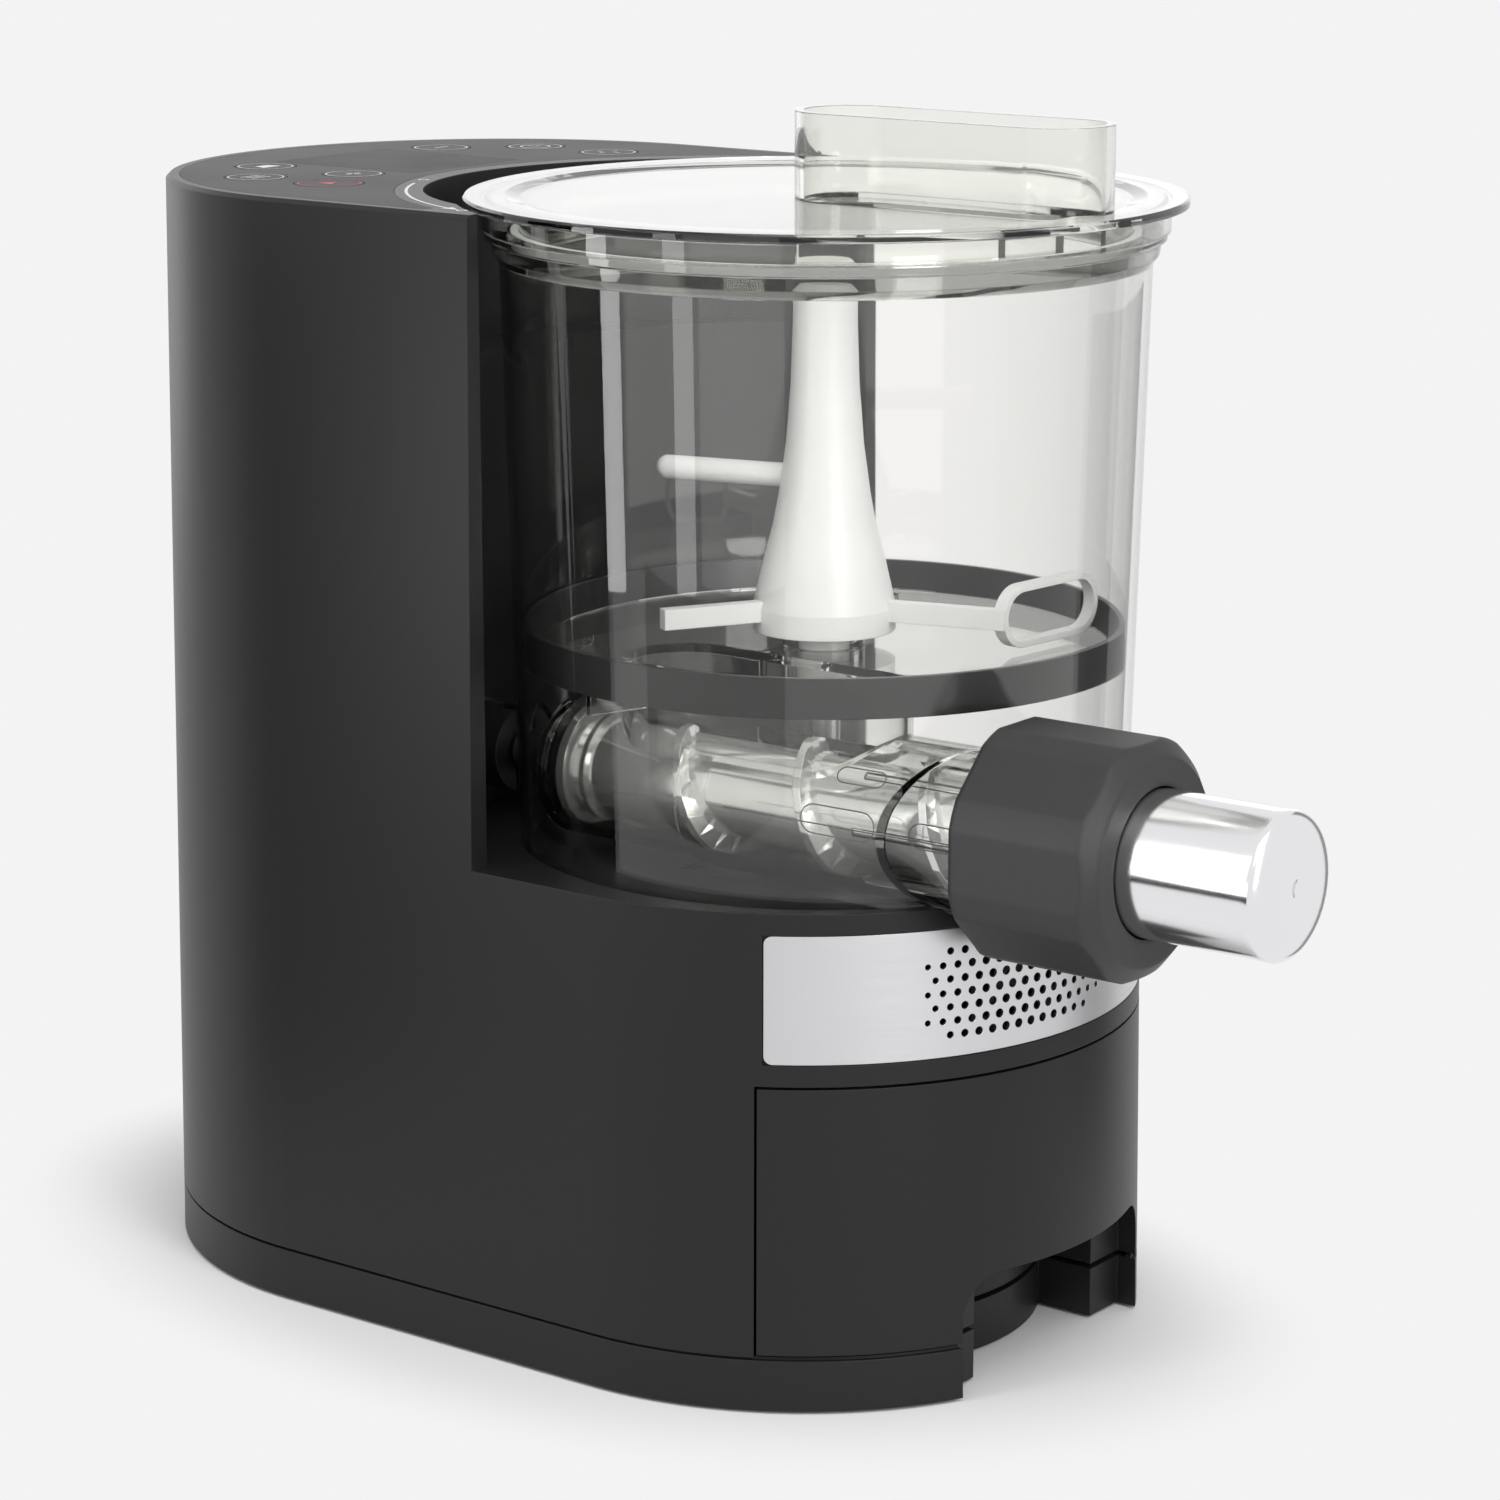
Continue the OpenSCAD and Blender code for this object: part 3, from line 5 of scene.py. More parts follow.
import bpy
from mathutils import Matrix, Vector


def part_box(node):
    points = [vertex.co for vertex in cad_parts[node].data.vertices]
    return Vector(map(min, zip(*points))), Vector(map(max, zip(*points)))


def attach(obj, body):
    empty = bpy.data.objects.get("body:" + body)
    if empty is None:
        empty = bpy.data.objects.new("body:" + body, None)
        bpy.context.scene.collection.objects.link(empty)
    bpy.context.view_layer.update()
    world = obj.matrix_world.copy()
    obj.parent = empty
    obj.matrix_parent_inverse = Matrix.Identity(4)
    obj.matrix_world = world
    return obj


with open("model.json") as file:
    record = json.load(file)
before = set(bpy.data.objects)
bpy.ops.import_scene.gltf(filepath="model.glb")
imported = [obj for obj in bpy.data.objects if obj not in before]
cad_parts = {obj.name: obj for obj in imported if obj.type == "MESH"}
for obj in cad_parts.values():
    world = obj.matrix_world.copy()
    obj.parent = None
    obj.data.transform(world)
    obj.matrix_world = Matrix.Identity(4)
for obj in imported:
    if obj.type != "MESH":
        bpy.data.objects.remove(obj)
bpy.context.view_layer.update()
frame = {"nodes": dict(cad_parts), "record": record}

MM = 0.001
BACKGROUND = (0.905, 0.897, 0.905)


# ------------------------------------------------------------------ materials

EDGE_SAMPLES = 6
PLASTIC_SPREAD = 0.06
METAL_SPREAD = 0.12

# Painted shade on clear plastic, by how slanted its face is seen, darker towards its edges: the ramp's
# ends, then stops with a share of the slanted colour.
SLANT_START, SLANT_END = 0.05, 0.98
SLANT_STOPS = ((0.5, 1.0), (0.8, 0.9), (0.93, 0.55))
# Clear plastic, by height: dark in the band of the rim and the lid's edge, a little green on the chute.
TINT_LOW, TINT_HIGH = 0.3165, 0.365
HEIGHT_TINTS = ((0.3167, 1.0), (0.3172, 0.66), (0.3253, 0.66), (0.326, 1.0), (0.328, 1.0), (0.33, 0.95))
TINT_HUE = (1, 1.005, 0.985)
CHUTE_TINT = (0.95, 0.955, 0.935)
# Clear plastic holds back this share of the light in its shadow.
SHADOW_SHARE = 0.15


def new_material(name, colour, roughness, **sockets):
    """A Principled material; further socket values go by the socket's name with _ for a space."""
    mat = bpy.data.materials.new(name)
    mat.use_nodes = True
    shader = mat.node_tree.nodes["Principled BSDF"]
    shader.inputs["Base Color"].default_value = (*colour, 1)
    shader.inputs["Roughness"].default_value = roughness
    for key, value in sockets.items():
        shader.inputs[key.replace("_", " ")].default_value = value
    return mat


def add_node(mat, kind, **values):
    """One shader node, with its sockets set by name."""
    node = mat.node_tree.nodes.new(kind)
    for key, value in values.items():
        node.inputs[key].default_value = value
    return node


def map_range(mat, socket, source, target):
    """Moves a value from one range (low, high) to another; gives the output socket."""
    spread = add_node(mat, "ShaderNodeMapRange")
    spread.inputs["From Min"].default_value = source[0]
    spread.inputs["From Max"].default_value = source[1]
    spread.inputs["To Min"].default_value = target[0]
    spread.inputs["To Max"].default_value = target[1]
    mat.node_tree.links.new(socket, spread.inputs["Value"])
    return spread.outputs["Result"]


def add_grain(mat, scale, height, stretch=(1, 1, 1), edge=0.5 * MM, rough=None, detail=3):
    """Fine surface grain as a bump, softly rounded edges, and roughness that drifts with the grain."""
    links = mat.node_tree.links
    shader = mat.node_tree.nodes["Principled BSDF"]
    place = add_node(mat, "ShaderNodeTexCoord")
    mapping = add_node(mat, "ShaderNodeMapping", Scale=stretch)
    noise = add_node(mat, "ShaderNodeTexNoise", Scale=scale, Detail=detail)
    links.new(place.outputs["Object"], mapping.inputs["Vector"])
    links.new(mapping.outputs["Vector"], noise.inputs["Vector"])
    bump = add_node(mat, "ShaderNodeBump", Strength=1.0, Distance=height)
    links.new(noise.outputs["Fac"], bump.inputs["Height"])
    if edge:
        bevel = add_node(mat, "ShaderNodeBevel", Radius=edge)
        bevel.samples = EDGE_SAMPLES
        links.new(bevel.outputs["Normal"], bump.inputs["Normal"])
    links.new(bump.outputs["Normal"], shader.inputs["Normal"])
    if rough:
        links.new(map_range(mat, noise.outputs["Fac"], (0, 1), rough), shader.inputs["Roughness"])
    return mat


def moulded_plastic(name, colour, roughness, grain=0.02 * MM, scale=2200, edge=0.5 * MM, **sockets):
    """Opaque plastic with the fine grain of a mould; painted and cast metal use it too."""
    mat = new_material(name, colour, roughness, **sockets)
    rough = (roughness - PLASTIC_SPREAD, roughness + PLASTIC_SPREAD)
    return add_grain(mat, scale, grain, edge=edge, rough=rough)


def gloss_plastic(name, colour, ior=1.16):
    """Smooth plastic or glass over a print; a low ior keeps its reflections faint."""
    mat = new_material(name, colour, 0.2, IOR=ior)
    return add_grain(mat, 40, 0.01 * MM, edge=0.3 * MM, rough=(0.16, 0.24))


def brushed_metal(name, colour, roughness, stretch):
    """Fine lines across the direction in which stretch is large."""
    mat = new_material(name, colour, roughness, Metallic=1.0)
    rough = (roughness - METAL_SPREAD, roughness + METAL_SPREAD)
    return add_grain(mat, 1, 0.006 * MM, stretch=stretch, edge=0.2 * MM, rough=rough, detail=6)


def chromed_metal(name, colour, roughness):
    """Bright metal with true edges, for pieces whose mesh is smooth already."""
    mat = new_material(name, colour, roughness, Metallic=1.0)
    return add_grain(mat, 60, 0.01 * MM, edge=0, rough=(roughness, roughness + 0.03))


def hazy_metal(name, colour):
    """Polished metal that a soft haze keeps bright inside the clear barrel."""
    mat = new_material(name, colour, 0.14, Metallic=0.75, Specular_IOR_Level=0.8)
    return add_grain(mat, 60, 0.01 * MM, edge=0.3 * MM, rough=(0.1, 0.18))


def soft_rubber(name, colour):
    """Dull rubber or silicone."""
    mat = new_material(name, colour, 0.8)
    return add_grain(mat, 900, 0.03 * MM, rough=(0.72, 0.88))


def printed_mark(name, colour):
    """Flat ink."""
    mat = new_material(name, colour, 0.5)
    return add_grain(mat, 3000, 0.004 * MM, edge=0, rough=(0.45, 0.55))


def slant_shade(mat, face, slanted, edge):
    """Painted shade on clear plastic: face where it is seen squarely, slanted, then the dark edge along its
    wall, standing in for dark reflections.
    """
    slant = add_node(mat, "ShaderNodeLayerWeight", Blend=0.5)
    ramp = add_node(mat, "ShaderNodeValToRGB")
    first, last = ramp.color_ramp.elements
    first.position, first.color = SLANT_START, (*face, 1)
    last.position, last.color = SLANT_END, (*edge, 1)
    for place, share in SLANT_STOPS:
        stop = ramp.color_ramp.elements.new(place)
        stop.color = (*[share * c for c in slanted], 1)
    mat.node_tree.links.new(slant.outputs["Facing"], ramp.inputs["Fac"])
    return ramp.outputs["Color"]


def height_tint(mat):
    """Clear plastic's tint by height, which stands in for its thickness there."""
    links = mat.node_tree.links
    where = add_node(mat, "ShaderNodeTexCoord")
    height = add_node(mat, "ShaderNodeSeparateXYZ")
    links.new(where.outputs["Object"], height.inputs["Vector"])
    ramp = add_node(mat, "ShaderNodeValToRGB")
    ramp.color_ramp.elements[0].color = (1, 1, 1, 1)
    ramp.color_ramp.elements[1].color = (*CHUTE_TINT, 1)
    for z, tone in HEIGHT_TINTS:
        stop = ramp.color_ramp.elements.new((z - TINT_LOW) / (TINT_HIGH - TINT_LOW))
        stop.color = (*[tone * c for c in TINT_HUE], 1)
    share = map_range(mat, height.outputs["Z"], (TINT_LOW, TINT_HIGH), (0, 1))
    links.new(share, ramp.inputs["Fac"])
    return ramp.outputs["Color"]


def clear_plastic(name, face, slanted, edge):
    """Clear moulded plastic: pale where it is looked through squarely, and dark along its wall by painted
    shade.
    """
    mat = new_material(name, face, 0.02, Transmission_Weight=1.0, IOR=1.45)
    add_grain(mat, 25, 0.01 * MM, edge=0.5 * MM, rough=(0.01, 0.035))
    links = mat.node_tree.links
    shader = mat.node_tree.nodes["Principled BSDF"]
    # The painted edge shade, times the tint by height.
    tint = add_node(mat, "ShaderNodeVectorMath")
    tint.operation = "MULTIPLY"
    links.new(slant_shade(mat, face, slanted, edge), tint.inputs[0])
    links.new(height_tint(mat), tint.inputs[1])
    links.new(tint.outputs["Vector"], shader.inputs["Base Color"])
    path = add_node(mat, "ShaderNodeLightPath")
    alpha = map_range(mat, path.outputs["Is Shadow Ray"], (0, 1), (1.0, SHADOW_SHARE))
    links.new(alpha, shader.inputs["Alpha"])
    return mat


SLOT_MATERIALS = {
    "black_casing": moulded_plastic("black casing", (0.012, 0.012, 0.0122), 0.4, Specular_IOR_Level=0.27),
    "dark_tray": moulded_plastic("dark tray", (0.06, 0.06, 0.06), 0.5),
    "black_ring": moulded_plastic("black ring", (0.024, 0.024, 0.0245), 0.5, grain=0.05 * MM, scale=1500,
                                  edge=2.5 * MM),
    "gloss_panel": gloss_plastic("gloss panel", (0.05, 0.05, 0.05), 1.02),
    "start_cap": gloss_plastic("start cap", (0.05, 0.047, 0.048), 1.02),
    "display": gloss_plastic("display window", (0.022, 0.023, 0.023), 1.02),
    "display_body": gloss_plastic("display body", (0.3, 0.35, 0.3)),
    "rubber": soft_rubber("black rubber", (0.03, 0.03, 0.03)),
    "pale_seal": soft_rubber("pale silicone", (0.6, 0.61, 0.6)),
    "brushed_plate": brushed_metal("brushed plate", (0.67, 0.67, 0.68), 0.36, (60, 60, 2600)),
    "steel": brushed_metal("turned steel", (0.62, 0.62, 0.64), 0.3, (400, 1800, 400)),
    "polished_auger": hazy_metal("polished auger", (0.88, 0.88, 0.87)),
    "chrome_die": chromed_metal("chrome die", (0.86, 0.86, 0.87), 0.12),
    "cast_frame": moulded_plastic("cast aluminium", (0.5, 0.5, 0.52), 0.5, Metallic=1.0),
    "motor_can": moulded_plastic("motor can", (0.3, 0.3, 0.32), 0.4, Metallic=0.6),
    "white_plastic": moulded_plastic("white plastic", (0.73, 0.73, 0.72), 0.35),
    "circuit_board": gloss_plastic("circuit board", (0.02, 0.16, 0.06)),
    "board_mix": gloss_plastic("board parts", (0.12, 0.12, 0.16)),
    "fan_plastic": moulded_plastic("fan plastic", (0.02, 0.02, 0.02), 0.5),
    # Face, slanted and edge colours of clear plastic; the slanted and edge ones are painted shade.
    "clear_bowl": clear_plastic("clear bowl", (1, 1, 0.985), (0.85, 0.86, 0.84), (0.1, 0.104, 0.1)),
    "clear_base": clear_plastic("clear base", (0.95, 0.96, 0.94), (0.75, 0.76, 0.74), (0.04, 0.042, 0.04)),
}
# Painted shade: a darker copy of the turned steel for the shafts and the bearing, which lie in shade.
SHADED_STEEL = brushed_metal("shaded steel", (0.12, 0.12, 0.125), 0.4, (400, 1800, 400))
NODE_MATERIALS = {
    "drive_shaft": SHADED_STEEL,
    "auger_shaft": SHADED_STEEL,
    "drive_bearing": SHADED_STEEL,
    "floor_seal": moulded_plastic("black seal", (0.011, 0.011, 0.011), 0.3),
}
WHITE_PRINT = printed_mark("white print", (0.75, 0.75, 0.75))
RED_PRINT = printed_mark("red print", (0.55, 0.03, 0.06))
# Painted shade: the dark lines drawn along the clear barrel's moulding line and slot outlines.
DARK_LINE = printed_mark("shaded line", (0.09, 0.09, 0.088))

for entry in frame["record"]["subparts"]:
    node = entry["node"]
    solid = frame["nodes"][node]
    solid.data.materials.clear()
    solid.data.materials.append(NODE_MATERIALS.get(node, SLOT_MATERIALS[entry["material_slot"]]))


# ------------------------------------------------------------------ building meshes

SMOOTH_ANGLE = math.radians(35)


def add_mesh(name, points, faces, material, body):
    """One mesh that rides on a body."""
    mesh = bpy.data.meshes.new(name)
    mesh.from_pydata(points, [], faces)
    mesh.materials.append(material)
    obj = bpy.data.objects.new(name, mesh)
    bpy.context.scene.collection.objects.link(obj)
    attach(obj, body)
    return obj


def arc_band(name, centre, radius, width, a0, a1, z, material, body, steps=64):
    """A flat band of an arc, from angle a0 to a1 in degrees counted from +X; lengths in mm."""
    points, faces = [], []
    for i in range(steps + 1):
        a = math.radians(a0 + (a1 - a0) * i / steps)
        for r in ((radius - width / 2) * MM, (radius + width / 2) * MM):
            points.append((centre[0] + r * math.cos(a), centre[1] + r * math.sin(a), z))
    for i in range(steps):
        faces.append((2 * i, 2 * i + 1, 2 * i + 3, 2 * i + 2))
    return add_mesh(name, points, faces, material, body)


def flat_shape(name, outline, centre, z, material, body):
    """A flat polygon of (x, y) points in mm about a centre."""
    points = [(centre[0] + x * MM, centre[1] + y * MM, z) for x, y in outline]
    return add_mesh(name, points, [tuple(range(len(points)))], material, body)


def turned(name, profile, axis, material, body, steps=96):
    """A turned piece about a line along Y through axis = (x, z); the profile is (y, radius) points."""
    points, faces = [], []
    for y, r in profile:
        for k in range(steps):
            a = math.tau * k / steps
            points.append((axis[0] + r * math.cos(a), y, axis[1] + r * math.sin(a)))
    for i in range(len(profile) - 1):
        for k in range(steps):
            m = (k + 1) % steps
            faces.append((i * steps + k, (i + 1) * steps + k, (i + 1) * steps + m, i * steps + m))
    obj = add_mesh(name, points, faces, material, body)
    obj.data.shade_smooth()
    obj.data.set_sharp_from_angle(angle=SMOOTH_ANGLE)
    return obj


def wire(name, path, radius, material, body, closed=False, sides=6):
    """A thin round line through the points of a path."""
    points, faces = [], []
    path = [Vector(p) for p in path]
    n = len(path)
    for i, at in enumerate(path):
        ahead = path[(i + 1) % n] if closed or i < n - 1 else at
        behind = path[i - 1] if closed or i > 0 else at
        along = (ahead - behind).normalized()
        side = along.cross(Vector((0, 0, 1)) if abs(along.z) < 0.9 else Vector((1, 0, 0))).normalized()
        up = side.cross(along)
        for k in range(sides):
            a = math.tau * k / sides
            points.append(at + radius * (math.cos(a) * side + math.sin(a) * up))
    for i in range(n if closed else n - 1):
        for k in range(sides):
            m, j = (k + 1) % sides, (i + 1) % n
            faces.append((i * sides + k, i * sides + m, j * sides + m, j * sides + k))
    if not closed:
        faces.append(tuple(range(sides)))
        faces.append(tuple(range(n * sides - 1, (n - 1) * sides - 1, -1)))
    obj = add_mesh(name, points, faces, material, body)
    obj.data.shade_smooth()
    return obj


# ------------------------------------------------------------------ prints on the panel

def bar(w, l, x=0.0, y=0.0):
    """The outline of a bar, w by l mm, with its middle at (x, y)."""
    return [(x - w / 2, y - l / 2), (x + w / 2, y - l / 2), (x + w / 2, y + l / 2), (x - w / 2, y + l / 2)]


PRINT_LIFT = 0.05 * MM
RING_INSET, RING_LINE = 1.0, 0.45
DIAL_RADIUS, DIAL_LINE = 4.6, 0.6
KEY_SYMBOLS = {
    "start_key": [[(-2.2, -3), (3.2, 0), (-2.2, 3)]],
    "menu_key": [bar(8, 0.7, 0, y) for y in (-2.4, 0, 2.4)],
    "weight_key": [[(-4, -3), (4, -3), (2.6, 2), (-2.6, 2)]],
    "plus_key": [bar(6, 0.8), bar(0.8, 6)],
    "minus_key": [bar(6, 0.8)],
    "timer_key": [bar(0.7, 3.4, 0, 1.5), bar(3, 0.7, 1.3, 0)],
    "light_key": [bar(0.7, 2.4, 0, 3.4), bar(0.7, 2.4, 0, -3.4),
                  bar(2.4, 0.7, 3.4, 0), bar(2.4, 0.7, -3.4, 0)],
}
# The lid's turn: the barrel draws the bowl's box forward, so the bowl's axis lies behind its middle.
BOWL_AXIS_BACK = 36.7 * MM
TURN_RADIUS, TURN_LINE = 92.6, 0.9
TURN_ARC = (118, 160)
TURN_MARKS = (112, 165)
MARK_RADIUS, MARK_LINE = 1.3, 0.7
ARROW_TIP, ARROW_HALF = 164, 2


def mark_keys():
    """A thin ring and a plain symbol on each key."""
    for node, shapes in KEY_SYMBOLS.items():
        low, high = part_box(node)
        middle = (low + high) / 2
        radius = (high.x - low.x) / 2 / MM
        ink = RED_PRINT if node == "start_key" else WHITE_PRINT
        z = high.z + PRINT_LIFT
        arc_band(node + "_ring", middle, radius - RING_INSET, RING_LINE, 0, 360, z, ink, node)
        for i, outline in enumerate(shapes):
            flat_shape(f"{node}_symbol_{i}", outline, middle, z, ink, node)
        if node == "timer_key":
            arc_band("timer_dial", middle, DIAL_RADIUS, DIAL_LINE, 0, 360, z, ink, node)


def mark_lid_turn():
    """The curved line with an arrow and a mark at each end that shows which way the lid turns."""
    low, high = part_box("bowl")
    axis = ((low.x + high.x) / 2, (low.y + high.y) / 2 + BOWL_AXIS_BACK)
    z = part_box("top_panel")[1].z + PRINT_LIFT
    arc_band("lid_turn_line", axis, TURN_RADIUS, TURN_LINE, *TURN_ARC, z, WHITE_PRINT, "base")
    for i, angle in enumerate(TURN_MARKS):
        x, y = on_circle(TURN_RADIUS, angle)
        at = (axis[0] + x * MM, axis[1] + y * MM)
        arc_band(f"lid_turn_mark_{i}", at, MARK_RADIUS, MARK_LINE, 0, 360, z, WHITE_PRINT, "base", steps=24)
    head = [on_circle(TURN_RADIUS, ARROW_TIP)]
    head += [on_circle(TURN_RADIUS + side, TURN_ARC[1]) for side in (-ARROW_HALF, ARROW_HALF)]
    flat_shape("lid_turn_arrow", head, axis, z, WHITE_PRINT, "base")


def on_circle(radius, angle):
    """The point (x, y) of a circle at an angle in degrees."""
    turn = math.radians(angle)
    return radius * math.cos(turn), radius * math.sin(turn)


mark_keys()
mark_lid_turn()


# ------------------------------------------------------------------ auger, barrel and die, in mm

CORE_RADIUS, CORE_HUB = 14.4, 6.5
CORE_REAR_GAP, CORE_STEP = 0.2, 0.5
# Collars at the core's rear: how far their front and back lie from the rear end, and their radius.
CORE_COLLARS = ((9.5, 7.7, 16.2), (3.2, 0.4, 17.9))
BARREL_RADIUS = 23.6
LINE_RADIUS = 0.2 * MM
PARTING_ANGLE, PARTING_REAR = -3, -32
# Slot outlines: front and rear y, and the two angles between which they lie.
BARREL_SLOTS = ((-84, -59, 4, -16), (-112, -96, 2, -15), (-84, -68, -34, -46))
# Degrees in a radian.
DEGREES = 57.3
# The die's end: the dome starts this far behind the tip, and the smooth skin lies just over it.
DOME_DEPTH, DOME_LAP, DOME_SKIN = 5, 1.5, 0.08
DIE_DOME = ((0, 20.78), (0.7, 20.74), (1.4, 20.5), (2.0, 20.12), (2.6, 19.6), (3.1, 19.0), (3.55, 18.2),
            (4.0, 17.0), (4.42, 15.3), (4.7, 13.5), (4.88, 11), (4.98, 8), (5.02, 5), (5.0, 3.6),
            (4.8, 2.8), (4.5, 2.0), (4.3, 1.0), (4.25, 0.02))


def middle_axis(node):
    """The (x, z) of the line along Y through the middle of a node."""
    low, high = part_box(node)
    return (low.x + high.x) / 2, (low.z + high.z) / 2


def on_barrel(y, angle):
    """A point on the barrel; the angle counts down from the side that faces -X."""
    x, z = middle_axis("auger")
    across, down = on_circle(BARREL_RADIUS * MM, angle)
    return x - across, y, z - down


def dress_auger():
    """The thick polished core of the auger, with its collars."""
    low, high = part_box("auger")
    rear = high.y - CORE_REAR_GAP * MM
    core = CORE_RADIUS * MM
    profile = [(low.y, CORE_HUB * MM), (low.y - 0.3 * MM, core - 1 * MM), (low.y + 0.7 * MM, core)]
    for front, back, r in CORE_COLLARS:
        profile.append((rear - (front + CORE_STEP) * MM, core))
        profile.append((rear - front * MM, r * MM))
        profile.append((rear - back * MM, r * MM))
        if back > CORE_STEP:
            profile.append((rear - (back - CORE_STEP) * MM, core))
    profile.append((rear, CORE_HUB * MM))
    turned("auger_core", profile, middle_axis("auger"), SLOT_MATERIALS["polished_auger"],
           "auger")


def slot_path(y0, y1, a0, a1, steps=8):
    """A slot with round ends on the barrel: from y0 to y1, and from angle a0 to a1."""
    path = []
    middle, half = (a0 + a1) / 2, (a1 - a0) / 2
    end = abs(half) / DEGREES * BARREL_RADIUS * MM
    for centre, start in ((y1 - end, 90), (y0 + end, 270)):
        for k in range(steps + 1):
            turn = math.radians(start - 180 * k / steps)
            path.append(on_barrel(centre + end * math.cos(turn), middle + half * math.sin(turn)))
    return path


def dress_barrel():
    """The moulding lines of the clear barrel, drawn as thin dark lines of painted shade."""
    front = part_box("ring_nut")[1].y + 1 * MM
    line = [on_barrel(front, PARTING_ANGLE), on_barrel(PARTING_REAR * MM, PARTING_ANGLE)]
    wire("barrel_line", line, LINE_RADIUS, DARK_LINE, "bowl")
    for i, (y0, y1, a0, a1) in enumerate(BARREL_SLOTS):
        path = slot_path(y0 * MM, y1 * MM, a0, a1)
        wire(f"barrel_slot_{i}", path, LINE_RADIUS, DARK_LINE, "bowl", closed=True)


def dress_die():
    """The smooth domed end of the die, with a soft rim and a small dimple in its middle."""
    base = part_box("die_cylinder")[0].y + DOME_DEPTH * MM
    profile = [(base + DOME_LAP * MM, DIE_DOME[0][1] * MM)]
    for reach, r in DIE_DOME:
        profile.append((base - (reach + DOME_SKIN) * MM, r * MM))
    turned("die_end", profile, middle_axis("die_cylinder"), SLOT_MATERIALS["chrome_die"],
           "die")


dress_auger()
dress_barrel()
dress_die()


# ------------------------------------------------------------------ floor and world

FLOOR_SIZE = 8.0
# An oval about the machine: the floor keeps its shadow inside CLEAR and is plain background past FADE.
FLOOR_CLEAR, FLOOR_FADE = 0.106, 0.15
FLOOR_MIDDLE = (0.008, -0.0242, 0)
FLOOR_STRETCH = (1, 0.62, 1)
WORLD_LIGHT = 0.72


def add_plane(name, half_w, half_h, material):
    """A rectangle about the origin."""
    mesh = bpy.data.meshes.new(name)
    corners = [(x * half_w, y * half_h, 0) for x, y in ((-1, -1), (1, -1), (1, 1), (-1, 1))]
    mesh.from_pydata(corners, [], [(0, 1, 2, 3)])
    mesh.materials.append(material)
    plane = bpy.data.objects.new(name, mesh)
    bpy.context.scene.collection.objects.link(plane)
    return plane


def seen_rays(nodes, links):
    """1 for rays from the camera and for those seen in metal or through glass."""
    path = nodes.new("ShaderNodeLightPath")
    total = path.outputs["Is Camera Ray"]
    for name in ("Is Glossy Ray", "Is Transmission Ray"):
        add = nodes.new("ShaderNodeMath")
        add.operation = "MAXIMUM"
        links.new(total, add.inputs[0])
        links.new(path.outputs[name], add.inputs[1])
        total = add.outputs["Value"]
    return total


def floor_material():
    """Pale floor that keeps the shadow near the object and fades into the background further out."""
    mat = new_material("floor", (0.92, 0.913, 0.92), 0.9, Specular_IOR_Level=0.0)
    nodes, links = mat.node_tree.nodes, mat.node_tree.links
    place = nodes.new("ShaderNodeTexCoord")
    oval = add_node(mat, "ShaderNodeMapping", Location=FLOOR_MIDDLE, Scale=FLOOR_STRETCH)
    length = nodes.new("ShaderNodeVectorMath")
    length.operation = "LENGTH"
    links.new(place.outputs["Object"], oval.inputs["Vector"])
    links.new(oval.outputs["Vector"], length.inputs[0])
    fade = nodes.new("ShaderNodeMapRange")
    fade.interpolation_type = "SMOOTHSTEP"
    fade.inputs["From Min"].default_value = FLOOR_CLEAR
    fade.inputs["From Max"].default_value = FLOOR_FADE
    links.new(length.outputs["Value"], fade.inputs["Value"])
    share = nodes.new("ShaderNodeMath")
    share.operation = "MULTIPLY"
    links.new(fade.outputs["Result"], share.inputs[0])
    links.new(seen_rays(nodes, links), share.inputs[1])
    plain = nodes.new("ShaderNodeEmission")
    plain.inputs["Color"].default_value = (*BACKGROUND, 1)
    mix = nodes.new("ShaderNodeMixShader")
    links.new(share.outputs["Value"], mix.inputs["Fac"])
    links.new(nodes["Principled BSDF"].outputs["BSDF"], mix.inputs[1])
    links.new(plain.outputs["Emission"], mix.inputs[2])
    links.new(mix.outputs["Shader"], nodes["Material Output"].inputs["Surface"])
    return mat


def set_world(strength):
    """White light on the object, and the plain background where the world is seen."""
    world = bpy.data.worlds.new("studio")
    bpy.context.scene.world = world
    world.use_nodes = True
    nodes, links = world.node_tree.nodes, world.node_tree.links
    light = nodes["Background"]
    light.inputs["Color"].default_value = (1, 1, 1, 1)
    light.inputs["Strength"].default_value = strength
    seen = nodes.new("ShaderNodeBackground")
    seen.inputs["Color"].default_value = (*BACKGROUND, 1)
    mix = nodes.new("ShaderNodeMixShader")
    links.new(seen_rays(nodes, links), mix.inputs["Fac"])
    links.new(light.outputs["Background"], mix.inputs[1])
    links.new(seen.outputs["Background"], mix.inputs[2])
    links.new(mix.outputs["Shader"], nodes["World Output"].inputs["Surface"])


floor = add_plane("floor", FLOOR_SIZE, FLOOR_SIZE, floor_material())
set_world(WORLD_LIGHT)


# ------------------------------------------------------------------ lamps and cards

MIDDLE = (0, -0.02, 0.17)
BOWL_BOX_Y = (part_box("bowl")[0].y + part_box("bowl")[1].y) / 2
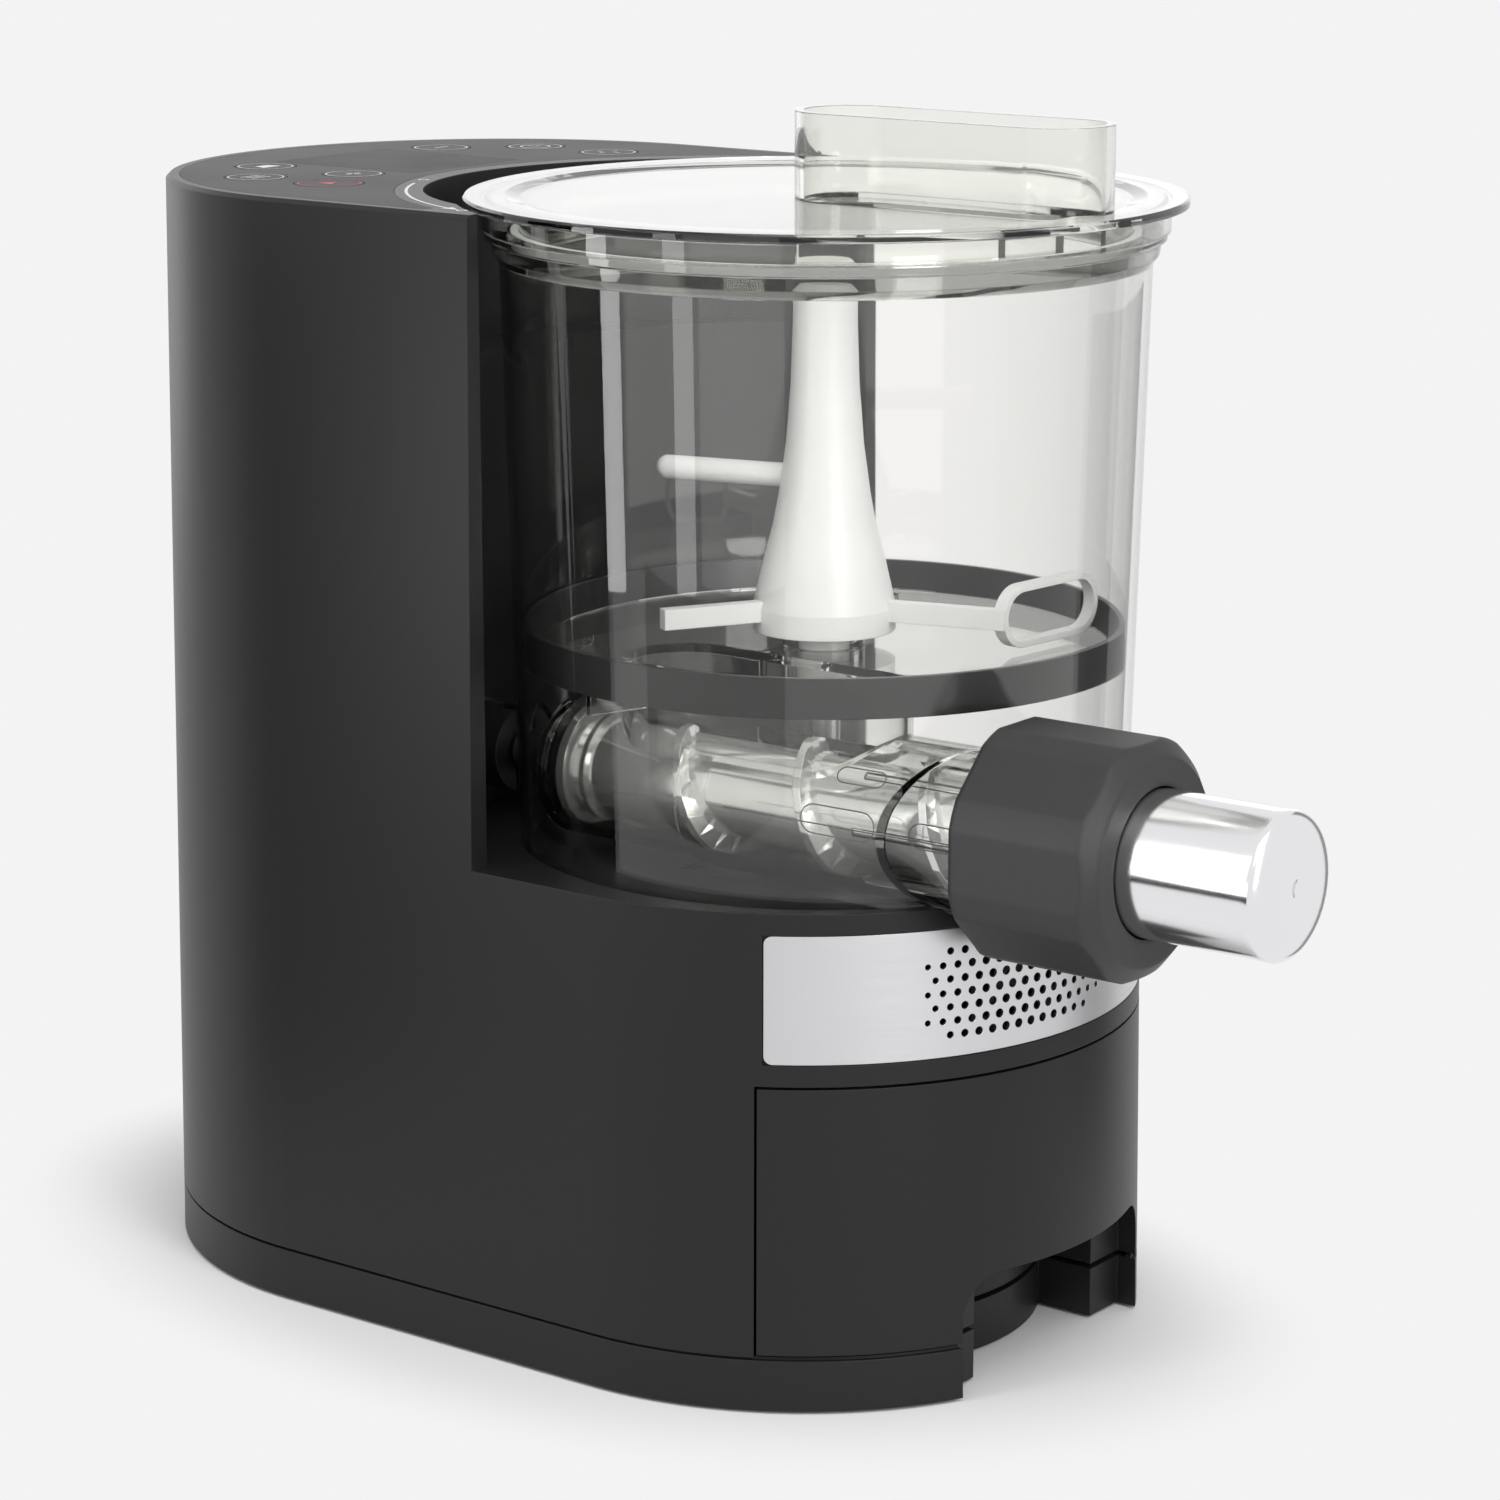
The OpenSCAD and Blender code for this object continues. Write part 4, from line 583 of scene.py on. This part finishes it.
# Upright cards stand on a ring about the bowl, at this distance and between these heights.
RING_REACH = 0.6
RING_LOW, RING_HIGH = 0.105, 0.28
RING_CARDS = (
    # name, degrees from +X, width, strength of its white
    ("first", 141.5, 0.085, 7.5),
    ("second", 169.5, 0.075, 5.0),
    ("wide", 189, 0.3, 2.0),
)
LOW_CARD_TURN, LOW_CARD_WIDTH, FLOOR_GAP = 178, 0.56, 0.004
LAMPS = (
    # name, place, size, watts
    ("left_softbox", (-1.3, 0.5, 0.8), (0.4, 1.2), 3),
    ("top_softbox", (-0.5, -0.7, 1.3), (0.9, 0.9), 6),
    ("front_softbox", (-0.64, -1.58, 0.7), (0.5, 1.0), 9.5),
)


def aim(obj, place, target):
    """Puts a lamp or card in its place, facing a target."""
    obj.location = place
    obj.rotation_euler = (Vector(target) - Vector(place)).to_track_quat("-Z", "Y").to_euler()


def add_lamp(name, place, target, size, watts):
    """A rectangular softbox."""
    data = bpy.data.lights.new(name, "AREA")
    data.shape = "RECTANGLE"
    data.size, data.size_y = size
    data.energy = watts
    lamp = bpy.data.objects.new(name, data)
    bpy.context.scene.collection.objects.link(lamp)
    aim(lamp, place, target)


def glow(name, strength):
    """The white or grey of a lit card."""
    mat = new_material(name, (0, 0, 0), 1.0, Specular_IOR_Level=0.0)
    shader = mat.node_tree.nodes["Principled BSDF"]
    shader.inputs["Emission Color"].default_value = (1, 1, 1, 1)
    shader.inputs["Emission Strength"].default_value = strength
    return mat


def add_card(name, place, target, size, material, in_metal=True, in_glass=False):
    """A card that lights nothing: in_metal for reflections, in_glass for the inner faces of clear walls."""
    card = add_plane(name, size[0] / 2, size[1] / 2, material)
    aim(card, place, target)
    card.visible_camera = False
    card.visible_diffuse = False
    card.visible_glossy = in_metal
    card.visible_transmission = in_glass
    card.visible_shadow = False


def add_ring_card(name, angle, width, low, high, material, gap=0.0):
    """An upright card on the ring about the bowl, facing the bowl."""
    x, y = on_circle(RING_REACH, angle)
    z = (low + high) / 2
    add_card(name, (x, BOWL_BOX_Y + y, z), (0, BOWL_BOX_Y, z), (width, high - low - gap), material)


for name, place, size, watts in LAMPS:
    add_lamp(name, place, MIDDLE, size, watts)
add_card("back_card", (1.2, 0.9, 0.56), (0, 0, 0.33), (1.6, 0.5), glow("back card white", 1.5))
add_card("rear_card", (0.25, 1.4, 0.5), MIDDLE, (0.5, 1.0), glow("rear card white", 2.0))
black_card = new_material("black card", (0.01, 0.01, 0.01), 1.0, Specular_IOR_Level=0.0)
add_card("left_dark_card", (-0.248, 0.251, 0.16), (-0.075, 0.016, 0.16), (0.118, 0.32), black_card,
         in_glass=True)
add_card("right_dark_card", (0.262, -0.155, 0.14), (0.02, 0.05, 0.14), (0.235, 0.26), black_card,
         in_metal=False, in_glass=True)
add_card("right_grey_card", (0.187, -0.207, 0.15), (0.0075, 0.07, 0.15), (0.11, 0.3),
         glow("right card grey", 0.3))
for name, angle, width, strength in RING_CARDS:
    add_ring_card(name + "_card", angle, width, RING_LOW, RING_HIGH, glow(name + " strip white", strength))
add_ring_card("low_dark_card", LOW_CARD_TURN, LOW_CARD_WIDTH, 0, RING_LOW, black_card, gap=FLOOR_GAP)


# ------------------------------------------------------------------ camera

CAMERA_PLACE = (-1.0231, -0.76597, 0.4722)
CAMERA_DOWN, CAMERA_ROUND = 13.427, 53.0
CAMERA_LENS, CAMERA_SENSOR = 105.57, 36


def add_camera():
    """Stands where the photograph was taken from: round from the front towards -X, and looking down."""
    data = bpy.data.cameras.new("camera")
    data.sensor_width = CAMERA_SENSOR
    data.lens = CAMERA_LENS
    camera = bpy.data.objects.new("camera", data)
    bpy.context.scene.collection.objects.link(camera)
    camera.location = CAMERA_PLACE
    camera.rotation_euler = (math.radians(90 - CAMERA_DOWN), 0, math.radians(-CAMERA_ROUND))
    bpy.context.scene.camera = camera


add_camera()
bpy.context.scene.view_settings.view_transform = "Standard"
